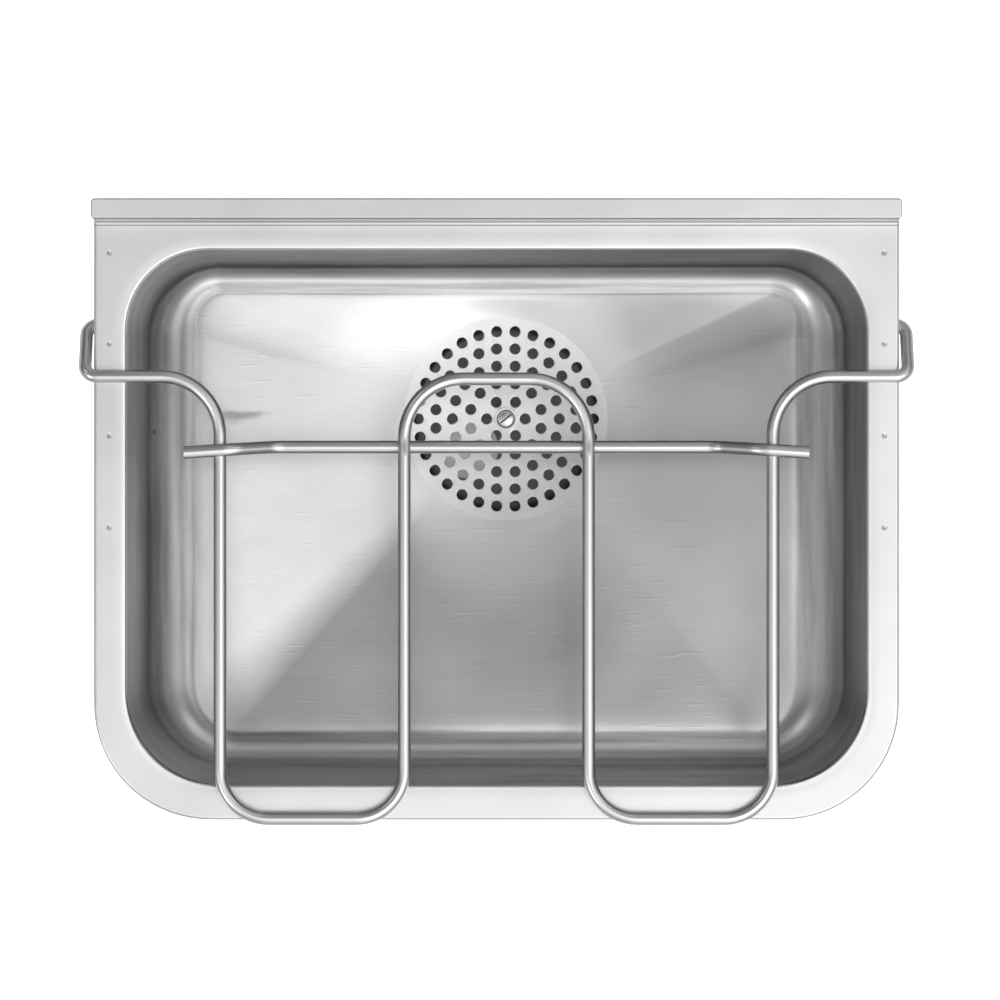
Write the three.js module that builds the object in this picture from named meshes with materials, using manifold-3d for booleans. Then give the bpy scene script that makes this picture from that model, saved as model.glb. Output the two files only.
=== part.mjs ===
// A wall-hung cleaner's sink in stainless steel, in millimetres.
//
// X runs along the wall, +Y points into the wall and +Z is up. The origin is on the wall plane, in
// the middle of the sink's width, level with the top of the rim.
//
// A drawn bowl hangs in a folded deck that turns up into a box-shaped upstand at the wall. A
// perforated disc closes the bowl's floor, and a waste cup is pulled up under it by one screw. A
// bucket grid, bent from a single rod, swings up on two hooked ends that pass through the skirt.

import * as THREE from 'three';
import { mergeVertices } from 'three/addons/utils/BufferGeometryUtils.js';
import Module from 'manifold-3d';

const wasm = await Module();
wasm.setup();

// ---- Driving dimensions ---------------------------------------------------------------------

const GAP = 0.3; // left between pieces that touch or are welded together
const SHEET = 1.2; // bowl, deck and strainer disc

// Deck, skirt and upstand.
const WIDTH = 500;
const DEPTH = 384.5;
const SIDE_RIM = 20;
const FRONT_RIM = 21.6;
const BACK_DECK = 15;
const RIM_CORNER = 72;
const RIM_BACK_CORNER = 3;
const RIM_OVERRUN = 6; // the pan is made this far past the wall, then trimmed
const RIM_BEND = 2;
const SKIRT_HEIGHT = 30;
const SKIRT_TO_WALL = 1;
const UPSTAND_HEIGHT = 24;
const UPSTAND_DEPTH = 13;
const UPSTAND_CORNER = 2.6;
const UPSTAND_BEND = 1.6;
const UPSTAND_FOOT = 2.4; // inner radius where the deck turns up
const REAR_FLANGE = 8; // how far the upstand's rear flange runs below the deck

// Bowl.
const BOWL_DEPTH = 183; // deck to the strainer disc
const BOWL_BACK_CORNER = 50;
const BOWL_FRONT_CORNER = 60;
const LIP = 6; // depth of the deck's turned-down lip, where the bowl is welded on
const LIP_BEND = 1.6;
const WALL_DRAFT = 3.5;
const WALL_DRAFT_BACK = 2.5;
const FLOOR_FILLET = 30;
const FLOOR_FILLET_BACK = 13;
const FLOOR_FILLET_FRONT = 22;
const FLOOR_RISE = 8; // the floor's height at the walls, above the disc
const FLOOR_DIP = 6; // how much lower it is in the middle of the back wall

// Strainer and waste.
const DRAIN_X = 6;
const DRAIN_FROM_WALL = 132.5;
const HOLE_DIAMETER = 7;
const HOLE_RINGS = 5;
const FIRST_RING = 12.7;
const RING_PITCH = 11.25;
const DISC_MARGIN = 5.8; // from the outer holes to the disc's edge
const SEAT_WIDTH = 5; // flat ring of floor round the disc
const DIMPLE_DEPTH = 2.2;
const DIMPLE_FLARE = 1.5; // how much wider the dimple is than the screw's head
const SCREW_DIAMETER = 6;
const SCREW_LENGTH = 22;
const SCREW_HEAD = 9.7;
const SCREW_CHAMFER = 0.5;
const SCREW_SINK = 0.1; // how far the head's top lies below the disc
const SLOT_WIDTH = 1.2;
const SLOT_DEPTH = 1.1;
const SLOT_TURN = 40; // degrees from +X
const GASKET = 3;
const GASKET_INSET = 0.5; // from the edge of the cup's flange
const CUP_MARGIN = 1.3; // from the outer holes to the cup's wall
const CUP_DEPTH = 34;
const CUP_WALL = 1.5;
const CUP_FLANGE = 8;
const CUP_BEND = 8;
const POST_WALL = 3.5; // beside the screw, at the flats
const OUTLET_DIAMETER = 47.8; // over the thread
const OUTLET_WALL = 3.7;
const OUTLET_LENGTH = 32;
const OUTLET_CHAMFER = 1;
const OUTLET_TO_POST = 3.7;
const OUTLET_TURN = 217.2; // degrees from +X, round the post
const NUT_WALL = 5.8; // outside the thread, at the flats
const NUT_HEIGHT = 24;
const NUT_LIP = 2.5;
const NUT_CHAMFER = 2;
const SEAL_THICKNESS = 3;

// Side brackets.
const BRACKET_SHEET = 2;
const BRACKET_BEND = 3; // outside radius
const BRACKET_LENGTH = 222;
const BRACKET_HEIGHT = 150;
const BRACKET_NOSE = 28;
const BRACKET_FOOT = 34; // depth of the web at its lower end
const BRACKET_TO_LIP = 2.3; // from the top flange to the deck's turned-down lip
const BRACKET_PLATE = 34; // width of the flange on the wall
const KEYHOLE_HEAD = 16;
const KEYHOLE_SLOT = 9;
const KEYHOLE_RISE = 13;
const KEYHOLE_DROP = 35; // from the deck to the upper keyhole
const KEYHOLE_LIFT = 25; // from the bracket's lower end to the lower keyhole

// Bucket grid.
const ROD = 8;
const HOOK_GAP = 1.4; // between the skirt and the rod that runs outside it
const HOOK_BEND = 4; // inside radius
const HOOK_END = 12; // how far the rod's end reaches inside the skirt
const PIVOT_FROM_WALL = 76.5;
const PIVOT_DROP = 15;
const PIVOT_PLAY = 3; // the hole's diameter over the rod's
const SIDE_RUN_FROM_WALL = 109.5;
const CENTRE_RUN_FROM_WALL = 110.9;
const LEG_TO_EDGE = 58.7; // from the outer legs to the sides of the opening
const GRID_BACK_BEND = 36.5;
const GRID_FRONT_BEND = 30;
const GRID_OVERHANG = 3; // past the front rim
const CROSS_FROM_WALL = 153.1;
const CROSS_OVERHANG = 22; // past the outer legs
const CROSS_SWEEP = 3.75; // degrees that its ends lean to the front
const JOGGLE_TO_LEG = 8;
const JOGGLE_RUN = 26;
const JOGGLE_BEND = 20;

// Facets.
const CORNER_STEPS = 7;
const SIDE_STEPS = [13, 7, 9, 7]; // back, left, front and right
const FILLET_STEPS = 4;
const ROD_SIDES = 10;
const BEND_STEPS = 5; // for a quarter turn
const HOLE_SIDES = 8;
const DISC_SIDES = 36;
const CUP_SIDES = 48;
const OUTLET_SIDES = 32;
const SMALL_SIDES = 24; // dimple and screw
const BORE_SIDES = 16;

// Cutting tools and laps.
const THROUGH = 10; // how far a cutter stands out past what it cuts
const LAP = 0.5; // how far two bodies run into each other where they are joined

// ---- Sizes that follow ------------------------------------------------------------------------

const rodRadius = ROD / 2;
const openingEdge = {
  half: WIDTH / 2 - SIDE_RIM,
  back: -(UPSTAND_DEPTH + UPSTAND_FOOT + BACK_DECK),
  front: -(DEPTH - FRONT_RIM),
  backRadius: BOWL_BACK_CORNER,
  frontRadius: BOWL_FRONT_CORNER,
};
const rimEdge = {
  half: WIDTH / 2,
  back: RIM_OVERRUN,
  front: -DEPTH,
  backRadius: RIM_BACK_CORNER,
  frontRadius: RIM_CORNER,
};
const outerHoles = FIRST_RING + (HOLE_RINGS - 1) * RING_PITCH + HOLE_DIAMETER / 2;
const discRadius = outerHoles + DISC_MARGIN;
const cupRadius = outerHoles + CUP_MARGIN;
const postRadius = (SCREW_DIAMETER / 2 + POST_WALL) / Math.cos(Math.PI / 6);
const outletRadius = OUTLET_DIAMETER / 2;
const outletBore = outletRadius - OUTLET_WALL;
const drain = new THREE.Vector2(DRAIN_X, -DRAIN_FROM_WALL);
const outlet = new THREE.Vector2(postRadius + OUTLET_TO_POST + outletBore, 0)
  .rotateAround(new THREE.Vector2(), THREE.MathUtils.degToRad(OUTLET_TURN))
  .add(drain);
const outerLeg = openingEdge.half - LEG_TO_EDGE;
const innerLeg = outerLeg / 3;
const discTop = -BOWL_DEPTH;
const gasketTop = discTop - SHEET - GAP;
const cupTop = gasketTop - GASKET - GAP;
const cupFloor = cupTop - CUP_DEPTH;
const pipeTop = cupFloor - CUP_WALL - GAP;
const pipeBottom = pipeTop - OUTLET_LENGTH;
const nutBottom = pipeBottom - GAP - SEAL_THICKNESS - GAP - NUT_LIP;

// ---- Solids -----------------------------------------------------------------------------------

function signedVolume(geometry) {
  const soup = geometry.index ? geometry.toNonIndexed() : geometry;
  const position = soup.attributes.position;
  const a = new THREE.Vector3();
  const b = new THREE.Vector3();
  const c = new THREE.Vector3();
  let volume = 0;
  for (let i = 0; i < position.count; i += 3) {
    a.fromBufferAttribute(position, i);
    b.fromBufferAttribute(position, i + 1);
    c.fromBufferAttribute(position, i + 2);
    volume += a.dot(b.cross(c)) / 6;
  }
  return volume;
}

// The same surface with shared vertices and its faces pointing outwards.
function closed(geometry) {
  const bare = new THREE.BufferGeometry();
  bare.setAttribute('position', geometry.attributes.position);
  bare.setIndex(geometry.index);
  const merged = mergeVertices(bare, 1e-4);
  if (signedVolume(merged) < 0) {
    const index = merged.index.array;
    for (let i = 0; i < index.length; i += 3) {
      [index[i], index[i + 1]] = [index[i + 1], index[i]];
    }
  }
  return merged;
}

function solid(geometry) {
  const surface = closed(geometry);
  return new wasm.Manifold(
    new wasm.Mesh({
      numProp: 3,
      vertProperties: new Float32Array(surface.attributes.position.array),
      triVerts: new Uint32Array(surface.index.array),
    }),
  );
}

function surfaceOf(body) {
  const mesh = body.getMesh();
  const geometry = new THREE.BufferGeometry();
  geometry.setAttribute('position', new THREE.BufferAttribute(mesh.vertProperties, 3));
  geometry.setIndex(new THREE.BufferAttribute(mesh.triVerts, 1));
  return geometry;
}

function box(from, to) {
  const size = to.map((value, axis) => value - from[axis]);
  const middle = to.map((value, axis) => (value + from[axis]) / 2);
  return new THREE.BoxGeometry(...size).translate(...middle);
}

// A shape drawn in the YZ plane, as (y, z), pushed along +X between two places.
function extrudeAlongX(shape, from, to) {
  const geometry = new THREE.ExtrudeGeometry(shape, { depth: to - from, bevelEnabled: false });
  const turn = new THREE.Matrix4().makeBasis(
    new THREE.Vector3(0, 1, 0),
    new THREE.Vector3(0, 0, 1),
    new THREE.Vector3(1, 0, 0),
  );
  return geometry.applyMatrix4(turn).translate(from, 0, 0);
}

// A shape drawn in plan, as (x, y), pushed up between two heights.
function extrudeUp(shape, from, to, options = { bevelEnabled: false }) {
  return new THREE.ExtrudeGeometry(shape, { depth: to - from, ...options }).translate(0, 0, from);
}

// A ring or a disc turned round a vertical line, from (radius, height) pairs.
function turned(profile, centre, segments = CUP_SIDES) {
  const points = profile.map(([radius, height]) => new THREE.Vector2(radius, height));
  points.push(points[0].clone());
  return new THREE.LatheGeometry(points, segments)
    .rotateX(Math.PI / 2)
    .translate(centre.x, centre.y, 0);
}

function arc(centre, radius, fromDegrees, toDegrees, steps) {
  return Array.from({ length: steps + 1 }, (_, i) => {
    const angle = THREE.MathUtils.degToRad(fromDegrees + ((toDegrees - fromDegrees) * i) / steps);
    return [centre[0] + radius * Math.cos(angle), centre[1] + radius * Math.sin(angle)];
  });
}

function roundedRectangle(xFrom, xTo, yFrom, yTo, radius) {
  const steps = 4;
  const outline = [
    ...arc([xTo - radius, yTo - radius], radius, 0, 90, steps),
    ...arc([xFrom + radius, yTo - radius], radius, 90, 180, steps),
    ...arc([xFrom + radius, yFrom + radius], radius, 180, 270, steps),
    ...arc([xTo - radius, yFrom + radius], radius, 270, 360, steps),
  ];
  return new THREE.Shape(outline.map(([x, y]) => new THREE.Vector2(x, y)));
}

// ---- Pressed sheet ----------------------------------------------------------------------------

function corners({ half, back, front, backRadius, frontRadius }) {
  const backY = back - backRadius;
  const frontY = front + frontRadius;
  return [
    { x: half - backRadius, y: backY, radius: backRadius, from: 0, isBack: true },
    { x: backRadius - half, y: backY, radius: backRadius, from: 90, isBack: true },
    { x: frontRadius - half, y: frontY, radius: frontRadius, from: 180, isBack: false },
    { x: half - frontRadius, y: frontY, radius: frontRadius, from: 270, isBack: false },
  ];
}

function cornerPoint(corner, degrees) {
  const angle = THREE.MathUtils.degToRad(degrees);
  const nx = Math.cos(angle);
  const ny = Math.sin(angle);
  return { x: corner.x + corner.radius * nx, y: corner.y + corner.radius * ny, nx, ny };
}

// Where rays from the drain, evenly spread, meet the straight side from a to b.
function raysOnSide(a, b, steps) {
  const angleOf = (p) => Math.atan2(p.y - drain.y, p.x - drain.x);
  const start = angleOf(a);
  const sweep = THREE.MathUtils.euclideanModulo(angleOf(b) - start, 2 * Math.PI);
  return Array.from({ length: steps - 1 }, (_, i) => {
    const angle = start + (sweep * (i + 1)) / steps;
    const ray = new THREE.Vector2(Math.cos(angle), Math.sin(angle));
    const side = new THREE.Vector2(b.x - a.x, b.y - a.y);
    const toStart = new THREE.Vector2(drain.x - a.x, drain.y - a.y);
    return toStart.cross(ray) / side.cross(ray);
  });
}

const sideFractions = corners(openingEdge).map((corner, i, all) => {
  const a = cornerPoint(corner, corner.from + 90);
  const b = cornerPoint(all[(i + 1) % 4], corner.from + 90);
  return raysOnSide(a, b, SIDE_STEPS[i]);
});

// One loop of points round an edge, each with its outward direction. `back` is 1 along the back
// wall and fades to 0 round the two back corners, and `front` does the same at the front.
function loopRound(edge) {
  const points = [];
  corners(edge).forEach((corner, i, all) => {
    for (let step = 0; step <= CORNER_STEPS; step += 1) {
      const turn = (90 * step) / CORNER_STEPS;
      const fromSide = i % 2 === 0 ? turn : 90 - turn;
      const share = Math.sin(THREE.MathUtils.degToRad(fromSide)) ** 2;
      const back = corner.isBack ? share : 0;
      const front = corner.isBack ? 0 : share;
      points.push({ ...cornerPoint(corner, corner.from + turn), back, front });
    }
    const a = cornerPoint(corner, corner.from + 90);
    const b = cornerPoint(all[(i + 1) % 4], corner.from + 90);
    for (const fraction of sideFractions[i]) {
      const x = THREE.MathUtils.lerp(a.x, b.x, fraction);
      const y = THREE.MathUtils.lerp(a.y, b.y, fraction);
      points.push({ x, y, nx: a.nx, ny: a.ny, back: i === 0 ? 1 : 0, front: i === 2 ? 1 : 0 });
    }
  });
  return points;
}

function ring(loop, inset, height) {
  return loop.map((p) => {
    const shift = typeof inset === 'function' ? inset(p) : inset;
    const z = typeof height === 'function' ? height(p) : height;
    return new THREE.Vector3(p.x - p.nx * shift, p.y - p.ny * shift, z);
  });
}

// The far side of a sheet: every point of the rings moved through the sheet along the surface
// normal. The rings run from an inner edge to an outer one.
function farSide(rings, thickness) {
  return rings.map((points, i) =>
    points.map((point, k) => {
      const round = points[(k + 1) % points.length]
        .clone()
        .sub(points[(k + points.length - 1) % points.length]);
      const across = rings[Math.min(i + 1, rings.length - 1)][k]
        .clone()
        .sub(rings[Math.max(i - 1, 0)][k]);
      const normal = across.cross(round).normalize();
      return point.clone().addScaledVector(normal, -thickness);
    }),
  );
}

// A closed skin over rings that come back to the first one.
function loft(rings) {
  const count = rings[0].length;
  const index = [];
  rings.forEach((_, i) => {
    const next = (i + 1) % rings.length;
    for (let k = 0; k < count; k += 1) {
      const after = (k + 1) % count;
      index.push(i * count + k, next * count + k, next * count + after);
      index.push(i * count + k, next * count + after, i * count + after);
    }
  });
  const geometry = new THREE.BufferGeometry().setFromPoints(rings.flat());
  geometry.setIndex(index);
  return geometry;
}

function sheetFrom(rings, thickness) {
  return loft([...rings, ...farSide(rings, thickness).reverse()]);
}

// ---- Bowl -------------------------------------------------------------------------------------

// A drawn tub: drafted walls, tighter fillets at the back and front, and a floor of four facets
// that meet in creases from the corners and fall to a level seat round the strainer disc.
function makeBowl() {
  const loop = loopRound(openingEdge);
  const draft = (p) => THREE.MathUtils.lerp(WALL_DRAFT, WALL_DRAFT_BACK, p.back);
  const fillet = (p) =>
    FLOOR_FILLET +
    p.back * (FLOOR_FILLET_BACK - FLOOR_FILLET) +
    p.front * (FLOOR_FILLET_FRONT - FLOOR_FILLET);
  const floorHeight = (p) => {
    const dip = p.back * Math.cos((Math.PI * p.x) / (2 * openingEdge.half)) ** 2;
    return discTop + FLOOR_RISE - FLOOR_DIP * dip;
  };
  const filletRing = (degrees) => {
    const angle = THREE.MathUtils.degToRad(degrees);
    return ring(
      loop,
      (p) => draft(p) + fillet(p) * (1 - Math.cos(angle)),
      (p) => floorHeight(p) + fillet(p) * (1 - Math.sin(angle)),
    );
  };
  const floorEdge = filletRing(90);
  const circle = (radius) =>
    floorEdge.map((p) => {
      const angle = Math.atan2(p.y - drain.y, p.x - drain.x);
      const x = drain.x + radius * Math.cos(angle);
      return new THREE.Vector3(x, drain.y + radius * Math.sin(angle), discTop);
    });
  const hole = circle(discRadius + GAP);
  const seat = circle(discRadius + GAP + SEAT_WIDTH);
  const floorMiddle = seat.map((p, k) => p.clone().lerp(floorEdge[k], 0.5));
  const rings = [hole, seat, floorMiddle, floorEdge];
  for (let step = FILLET_STEPS - 1; step >= 0; step -= 1) {
    rings.push(filletRing((90 * step) / FILLET_STEPS));
  }
  rings.push(ring(loop, 0, -LIP - GAP));
  return closed(sheetFrom(rings, SHEET));
}

// ---- Deck -------------------------------------------------------------------------------------

// A quarter bend between a vertical wall and the flat deck, as rings from the wall to the deck.
// The wall stands at `wall` from the loop and the deck lies on the side of `towards`.
function bendRings(loop, wall, towards, radius, top) {
  return [0, 45, 90].map((degrees) => {
    const angle = THREE.MathUtils.degToRad(degrees);
    const inset = wall + towards * radius * (1 - Math.cos(angle));
    return ring(loop, inset, degrees === 90 ? top : top - radius * (1 - Math.sin(angle)));
  });
}

// The rim as one folded sheet: a lip turned down into the opening, a flat deck, and a skirt
// turned down round the edge.
function rimPan() {
  const opening = loopRound(openingEdge);
  const rim = loopRound(rimEdge);
  const upper = [
    ring(opening, 0, -LIP),
    ...bendRings(opening, 0, -1, LIP_BEND, 0),
    ...bendRings(rim, 0, 1, RIM_BEND, 0).reverse(),
    ring(rim, 0, -SKIRT_HEIGHT),
  ];
  const under = [
    ring(opening, -SHEET, -LIP),
    ...bendRings(opening, -SHEET, -1, LIP_BEND - SHEET, -SHEET),
    ...bendRings(rim, SHEET, 1, RIM_BEND - SHEET, -SHEET).reverse(),
    ring(rim, SHEET, -SKIRT_HEIGHT),
  ];
  return loft([...upper, ...under.reverse()]);
}

// The upstand above the deck: riser, top return, rear flange and both ends, open underneath.
function upstandBox() {
  const half = WIDTH / 2;
  const bevel = {
    bevelEnabled: true,
    bevelThickness: UPSTAND_BEND,
    bevelSize: UPSTAND_BEND,
    bevelOffset: -UPSTAND_BEND,
    bevelSegments: 3,
  };
  const below = -REAR_FLANGE - THROUGH;
  const outer = extrudeUp(
    roundedRectangle(-half, half, -UPSTAND_DEPTH, 0, UPSTAND_CORNER),
    below,
    UPSTAND_HEIGHT - UPSTAND_BEND,
    bevel,
  );
  const inner = extrudeUp(
    roundedRectangle(
      SHEET - half,
      half - SHEET,
      SHEET - UPSTAND_DEPTH,
      -SHEET,
      UPSTAND_CORNER - SHEET,
    ),
    below - THROUGH,
    UPSTAND_HEIGHT - SHEET,
  );
  const trim = box(
    [-half - THROUGH, -UPSTAND_DEPTH - THROUGH, below - 2 * THROUGH],
    [half + THROUGH, THROUGH, -REAR_FLANGE],
  );
  const underRiser = box(
    [SHEET - half, -UPSTAND_DEPTH - THROUGH, -REAR_FLANGE - THROUGH],
    [half - SHEET, -UPSTAND_DEPTH + UPSTAND_CORNER, UPSTAND_FOOT],
  );
  return solid(outer).subtract(solid(inner)).subtract(solid(trim)).subtract(solid(underRiser));
}

// The bend where the deck turns up into the riser.
function upstandFoot() {
  const deckEnd = -(UPSTAND_DEPTH + UPSTAND_FOOT);
  const centre = [deckEnd, UPSTAND_FOOT];
  const outline = [
    [deckEnd - LAP, 0],
    ...arc(centre, UPSTAND_FOOT, -90, 0, 3),
    [-UPSTAND_DEPTH, UPSTAND_FOOT + LAP],
    [SHEET - UPSTAND_DEPTH, UPSTAND_FOOT + LAP],
    ...arc(centre, UPSTAND_FOOT + SHEET, 0, -90, 3),
    [deckEnd - LAP, -SHEET],
  ];
  const shape = new THREE.Shape(outline.map(([y, z]) => new THREE.Vector2(y, z)));
  const half = WIDTH / 2 - SHEET;
  return extrudeAlongX(shape, -half, half);
}

function pivotHoles() {
  const radius = (ROD + PIVOT_PLAY) / 2;
  const hole = new THREE.CylinderGeometry(radius, radius, WIDTH + THROUGH, BORE_SIDES);
  return solid(hole.rotateZ(Math.PI / 2).translate(0, -PIVOT_FROM_WALL, -PIVOT_DROP));
}

function makeDeck() {
  const half = WIDTH / 2 - RIM_BEND - LAP;
  const below = -SKIRT_HEIGHT - THROUGH;
  const behindDeck = box([-half, -UPSTAND_DEPTH - UPSTAND_FOOT, below], [half, THROUGH, THROUGH]);
  const pastWall = box([-WIDTH, -SKIRT_TO_WALL, below], [WIDTH, 2 * RIM_OVERRUN, THROUGH]);
  const deck = solid(rimPan())
    .subtract(solid(behindDeck))
    .subtract(solid(pastWall))
    .add(upstandBox())
    .add(solid(upstandFoot()))
    .subtract(pivotHoles());
  return surfaceOf(deck);
}

// ---- Brackets ---------------------------------------------------------------------------------

// A keyhole for a wall screw: a round head opening with a narrower slot above it.
function keyhole(x, z) {
  const length = 2 * THROUGH;
  const head = new THREE.CylinderGeometry(KEYHOLE_HEAD / 2, KEYHOLE_HEAD / 2, length, BORE_SIDES);
  const top = new THREE.CylinderGeometry(KEYHOLE_SLOT / 2, KEYHOLE_SLOT / 2, length, BORE_SIDES);
  const slot = new THREE.BoxGeometry(KEYHOLE_SLOT, length, KEYHOLE_RISE);
  return solid(head)
    .add(solid(top.translate(0, 0, KEYHOLE_RISE)))
    .add(solid(slot.translate(0, 0, KEYHOLE_RISE / 2)))
    .translate([x, 0, z]);
}

// A folded console under one side of the rim. Its top flange is spot-welded to the deck, its web
// lines the skirt and its plate stands on the wall.
function makeBracket(side) {
  const outer = WIDTH / 2 - SHEET - GAP;
  const top = -SHEET - GAP;
  const clearOfFlange = -UPSTAND_CORNER - GAP;
  const plateTop = -REAR_FLANGE - GAP;
  const topWidth = outer - (openingEdge.half + SHEET + BRACKET_TO_LIP);
  const web = new THREE.Shape(
    [
      [clearOfFlange, top],
      [-BRACKET_LENGTH, top],
      [-BRACKET_LENGTH, top - BRACKET_NOSE],
      [-BRACKET_FOOT, -BRACKET_HEIGHT],
      [0, -BRACKET_HEIGHT],
      [0, plateTop],
      [clearOfFlange, plateTop],
    ].map(([y, z]) => new THREE.Vector2(y, z)),
  );
  const inner = outer - BRACKET_SHEET;
  const fold = [outer - BRACKET_BEND, top - BRACKET_BEND];
  const angle = new THREE.Shape(
    [
      [outer - topWidth, top - BRACKET_SHEET],
      ...arc(fold, BRACKET_BEND - BRACKET_SHEET, 90, 0, 2),
      [inner, -BRACKET_HEIGHT],
      [outer, -BRACKET_HEIGHT],
      ...arc(fold, BRACKET_BEND, 0, 90, 3),
      [outer - topWidth, top],
    ].map(([x, z]) => new THREE.Vector2(x, z)),
  );
  const folded = extrudeUp(angle, 0, BRACKET_LENGTH).rotateX(Math.PI / 2);
  const plate = box(
    [outer - BRACKET_PLATE, -BRACKET_SHEET, -BRACKET_HEIGHT],
    [outer, 0, plateTop],
  );
  const slotX = outer - BRACKET_SHEET - (BRACKET_PLATE - BRACKET_SHEET) / 2;
  const bracket = solid(folded)
    .intersect(solid(extrudeAlongX(web, outer - topWidth - THROUGH, outer + THROUGH)))
    .add(solid(plate))
    .subtract(pivotHoles())
    .subtract(keyhole(slotX, -KEYHOLE_DROP))
    .subtract(keyhole(slotX, KEYHOLE_LIFT - BRACKET_HEIGHT));
  return surfaceOf(side < 0 ? bracket.mirror([1, 0, 0]) : bracket);
}

// ---- Strainer and waste -----------------------------------------------------------------------

// The perforated disc: rings of 6, 12, 18... holes, each ring starting half a step off the
// vertical, and a dimple in the middle that sinks the screw's head.
function makeStrainerDisc() {
  const outline = new THREE.Shape().absarc(0, 0, discRadius - GAP, 0, 2 * Math.PI);
  const addHole = (x, y, radius, sides) => {
    const points = arc([x, y], radius, 0, 360 - 360 / sides, sides - 1);
    outline.holes.push(new THREE.Path(points.map(([u, v]) => new THREE.Vector2(u, v))));
  };
  for (let level = 1; level <= HOLE_RINGS; level += 1) {
    const count = 6 * level;
    const radius = FIRST_RING + (level - 1) * RING_PITCH;
    for (let k = 0; k < count; k += 1) {
      const angle = Math.PI / 2 + (2 * Math.PI * (k + 0.5)) / count;
      addHole(radius * Math.cos(angle), radius * Math.sin(angle), HOLE_DIAMETER / 2, HOLE_SIDES);
    }
  }
  const dimpleRadius = SCREW_HEAD / 2 + DIMPLE_FLARE;
  addHole(0, 0, dimpleRadius, SMALL_SIDES);
  const plate = extrudeUp(outline, discTop - SHEET, discTop, {
    bevelEnabled: false,
    curveSegments: DISC_SIDES,
  }).translate(drain.x, drain.y, 0);
  const bottom = discTop - DIMPLE_DEPTH;
  const wallRadius = SCREW_HEAD / 2 + GAP;
  const screwHole = SCREW_DIAMETER / 2 + GAP;
  const dimple = turned(
    [
      [dimpleRadius + LAP, discTop],
      [dimpleRadius, discTop],
      [wallRadius, bottom],
      [screwHole, bottom],
      [screwHole, bottom - SHEET],
      [wallRadius + SHEET / 2, bottom - SHEET],
      [dimpleRadius + LAP, discTop - SHEET],
    ],
    drain,
    SMALL_SIDES,
  );
  return surfaceOf(solid(plate).add(solid(dimple)));
}

function makeDrainScrew() {
  const headBottom = discTop - DIMPLE_DEPTH + GAP;
  const headTop = discTop - SCREW_SINK;
  const shank = SCREW_DIAMETER / 2;
  const head = SCREW_HEAD / 2;
  const body = turned(
    [
      [0, headTop],
      [0, headBottom - SCREW_LENGTH],
      [shank - SCREW_CHAMFER, headBottom - SCREW_LENGTH],
      [shank, headBottom - SCREW_LENGTH + SCREW_CHAMFER],
      [shank, headBottom],
      [head, headBottom],
      [head, headTop - SCREW_CHAMFER],
      [head - SCREW_CHAMFER, headTop],
    ],
    drain,
    SMALL_SIDES,
  );
  const slot = new THREE.BoxGeometry(SCREW_HEAD + THROUGH, SLOT_WIDTH, 2 * SLOT_DEPTH)
    .rotateZ(THREE.MathUtils.degToRad(SLOT_TURN))
    .translate(drain.x, drain.y, headTop);
  return surfaceOf(solid(body).subtract(solid(slot)));
}

function makeDrainGasket() {
  const inner = cupRadius + GAP;
  const outer = cupRadius + CUP_FLANGE - GASKET_INSET;
  const bottom = gasketTop - GASKET;
  return closed(
    turned(
      [
        [inner, gasketTop],
        [inner, bottom],
        [outer, bottom],
        [outer, gasketTop],
      ],
      drain,
    ),
  );
}

// The waste cup, pressed from sheet, with a flange against the gasket and its outlet off centre.
function makeDrainCup() {
  const inside = CUP_BEND - CUP_WALL;
  const bendCentre = [cupRadius - inside, cupFloor + inside];
  const cup = turned(
    [
      [0, cupFloor],
      [0, cupFloor - CUP_WALL],
      ...arc(bendCentre, CUP_BEND, 270, 360, 3),
      [cupRadius + CUP_WALL, cupTop - CUP_WALL],
      [cupRadius + CUP_FLANGE, cupTop - CUP_WALL],
      [cupRadius + CUP_FLANGE, cupTop],
      [cupRadius, cupTop],
      ...arc(bendCentre, inside, 360, 270, 3),
    ],
    drain,
  );
  const hole = new THREE.CylinderGeometry(outletBore, outletBore, THROUGH, OUTLET_SIDES)
    .rotateX(Math.PI / 2)
    .translate(outlet.x, outlet.y, cupFloor);
  return surfaceOf(solid(cup).subtract(solid(hole)));
}

// The hexagonal post in the middle of the cup that the screw threads into.
function makeDrainPost() {
  const top = discTop - DIMPLE_DEPTH - SHEET - GAP;
  const bottom = cupFloor + GAP;
  const post = new THREE.CylinderGeometry(postRadius, postRadius, top - bottom, 6)
    .rotateX(Math.PI / 2)
    .translate(drain.x, drain.y, (top + bottom) / 2);
  const boreRadius = SCREW_DIAMETER / 2 + GAP;
  const bore = new THREE.CylinderGeometry(boreRadius, boreRadius, 2 * SCREW_LENGTH, BORE_SIDES)
    .rotateX(Math.PI / 2)
    .translate(drain.x, drain.y, top);
  return surfaceOf(solid(post).subtract(solid(bore)));
}

function makeOutletPipe() {
  return closed(
    turned(
      [
        [outletBore, pipeTop],
        [outletBore, pipeBottom],
        [outletRadius - OUTLET_CHAMFER, pipeBottom],
        [outletRadius, pipeBottom + OUTLET_CHAMFER],
        [outletRadius, pipeTop],
      ],
      outlet,
      OUTLET_SIDES,
    ),
  );
}

function makeOutletSeal() {
  const top = pipeBottom - GAP;
  const bottom = top - SEAL_THICKNESS;
  return closed(
    turned(
      [
        [outletBore, top],
        [outletBore, bottom],
        [outletRadius - OUTLET_CHAMFER, bottom],
        [outletRadius, bottom + OUTLET_CHAMFER],
        [outletRadius, top],
      ],
      outlet,
      OUTLET_SIDES,
    ),
  );
}

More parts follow.
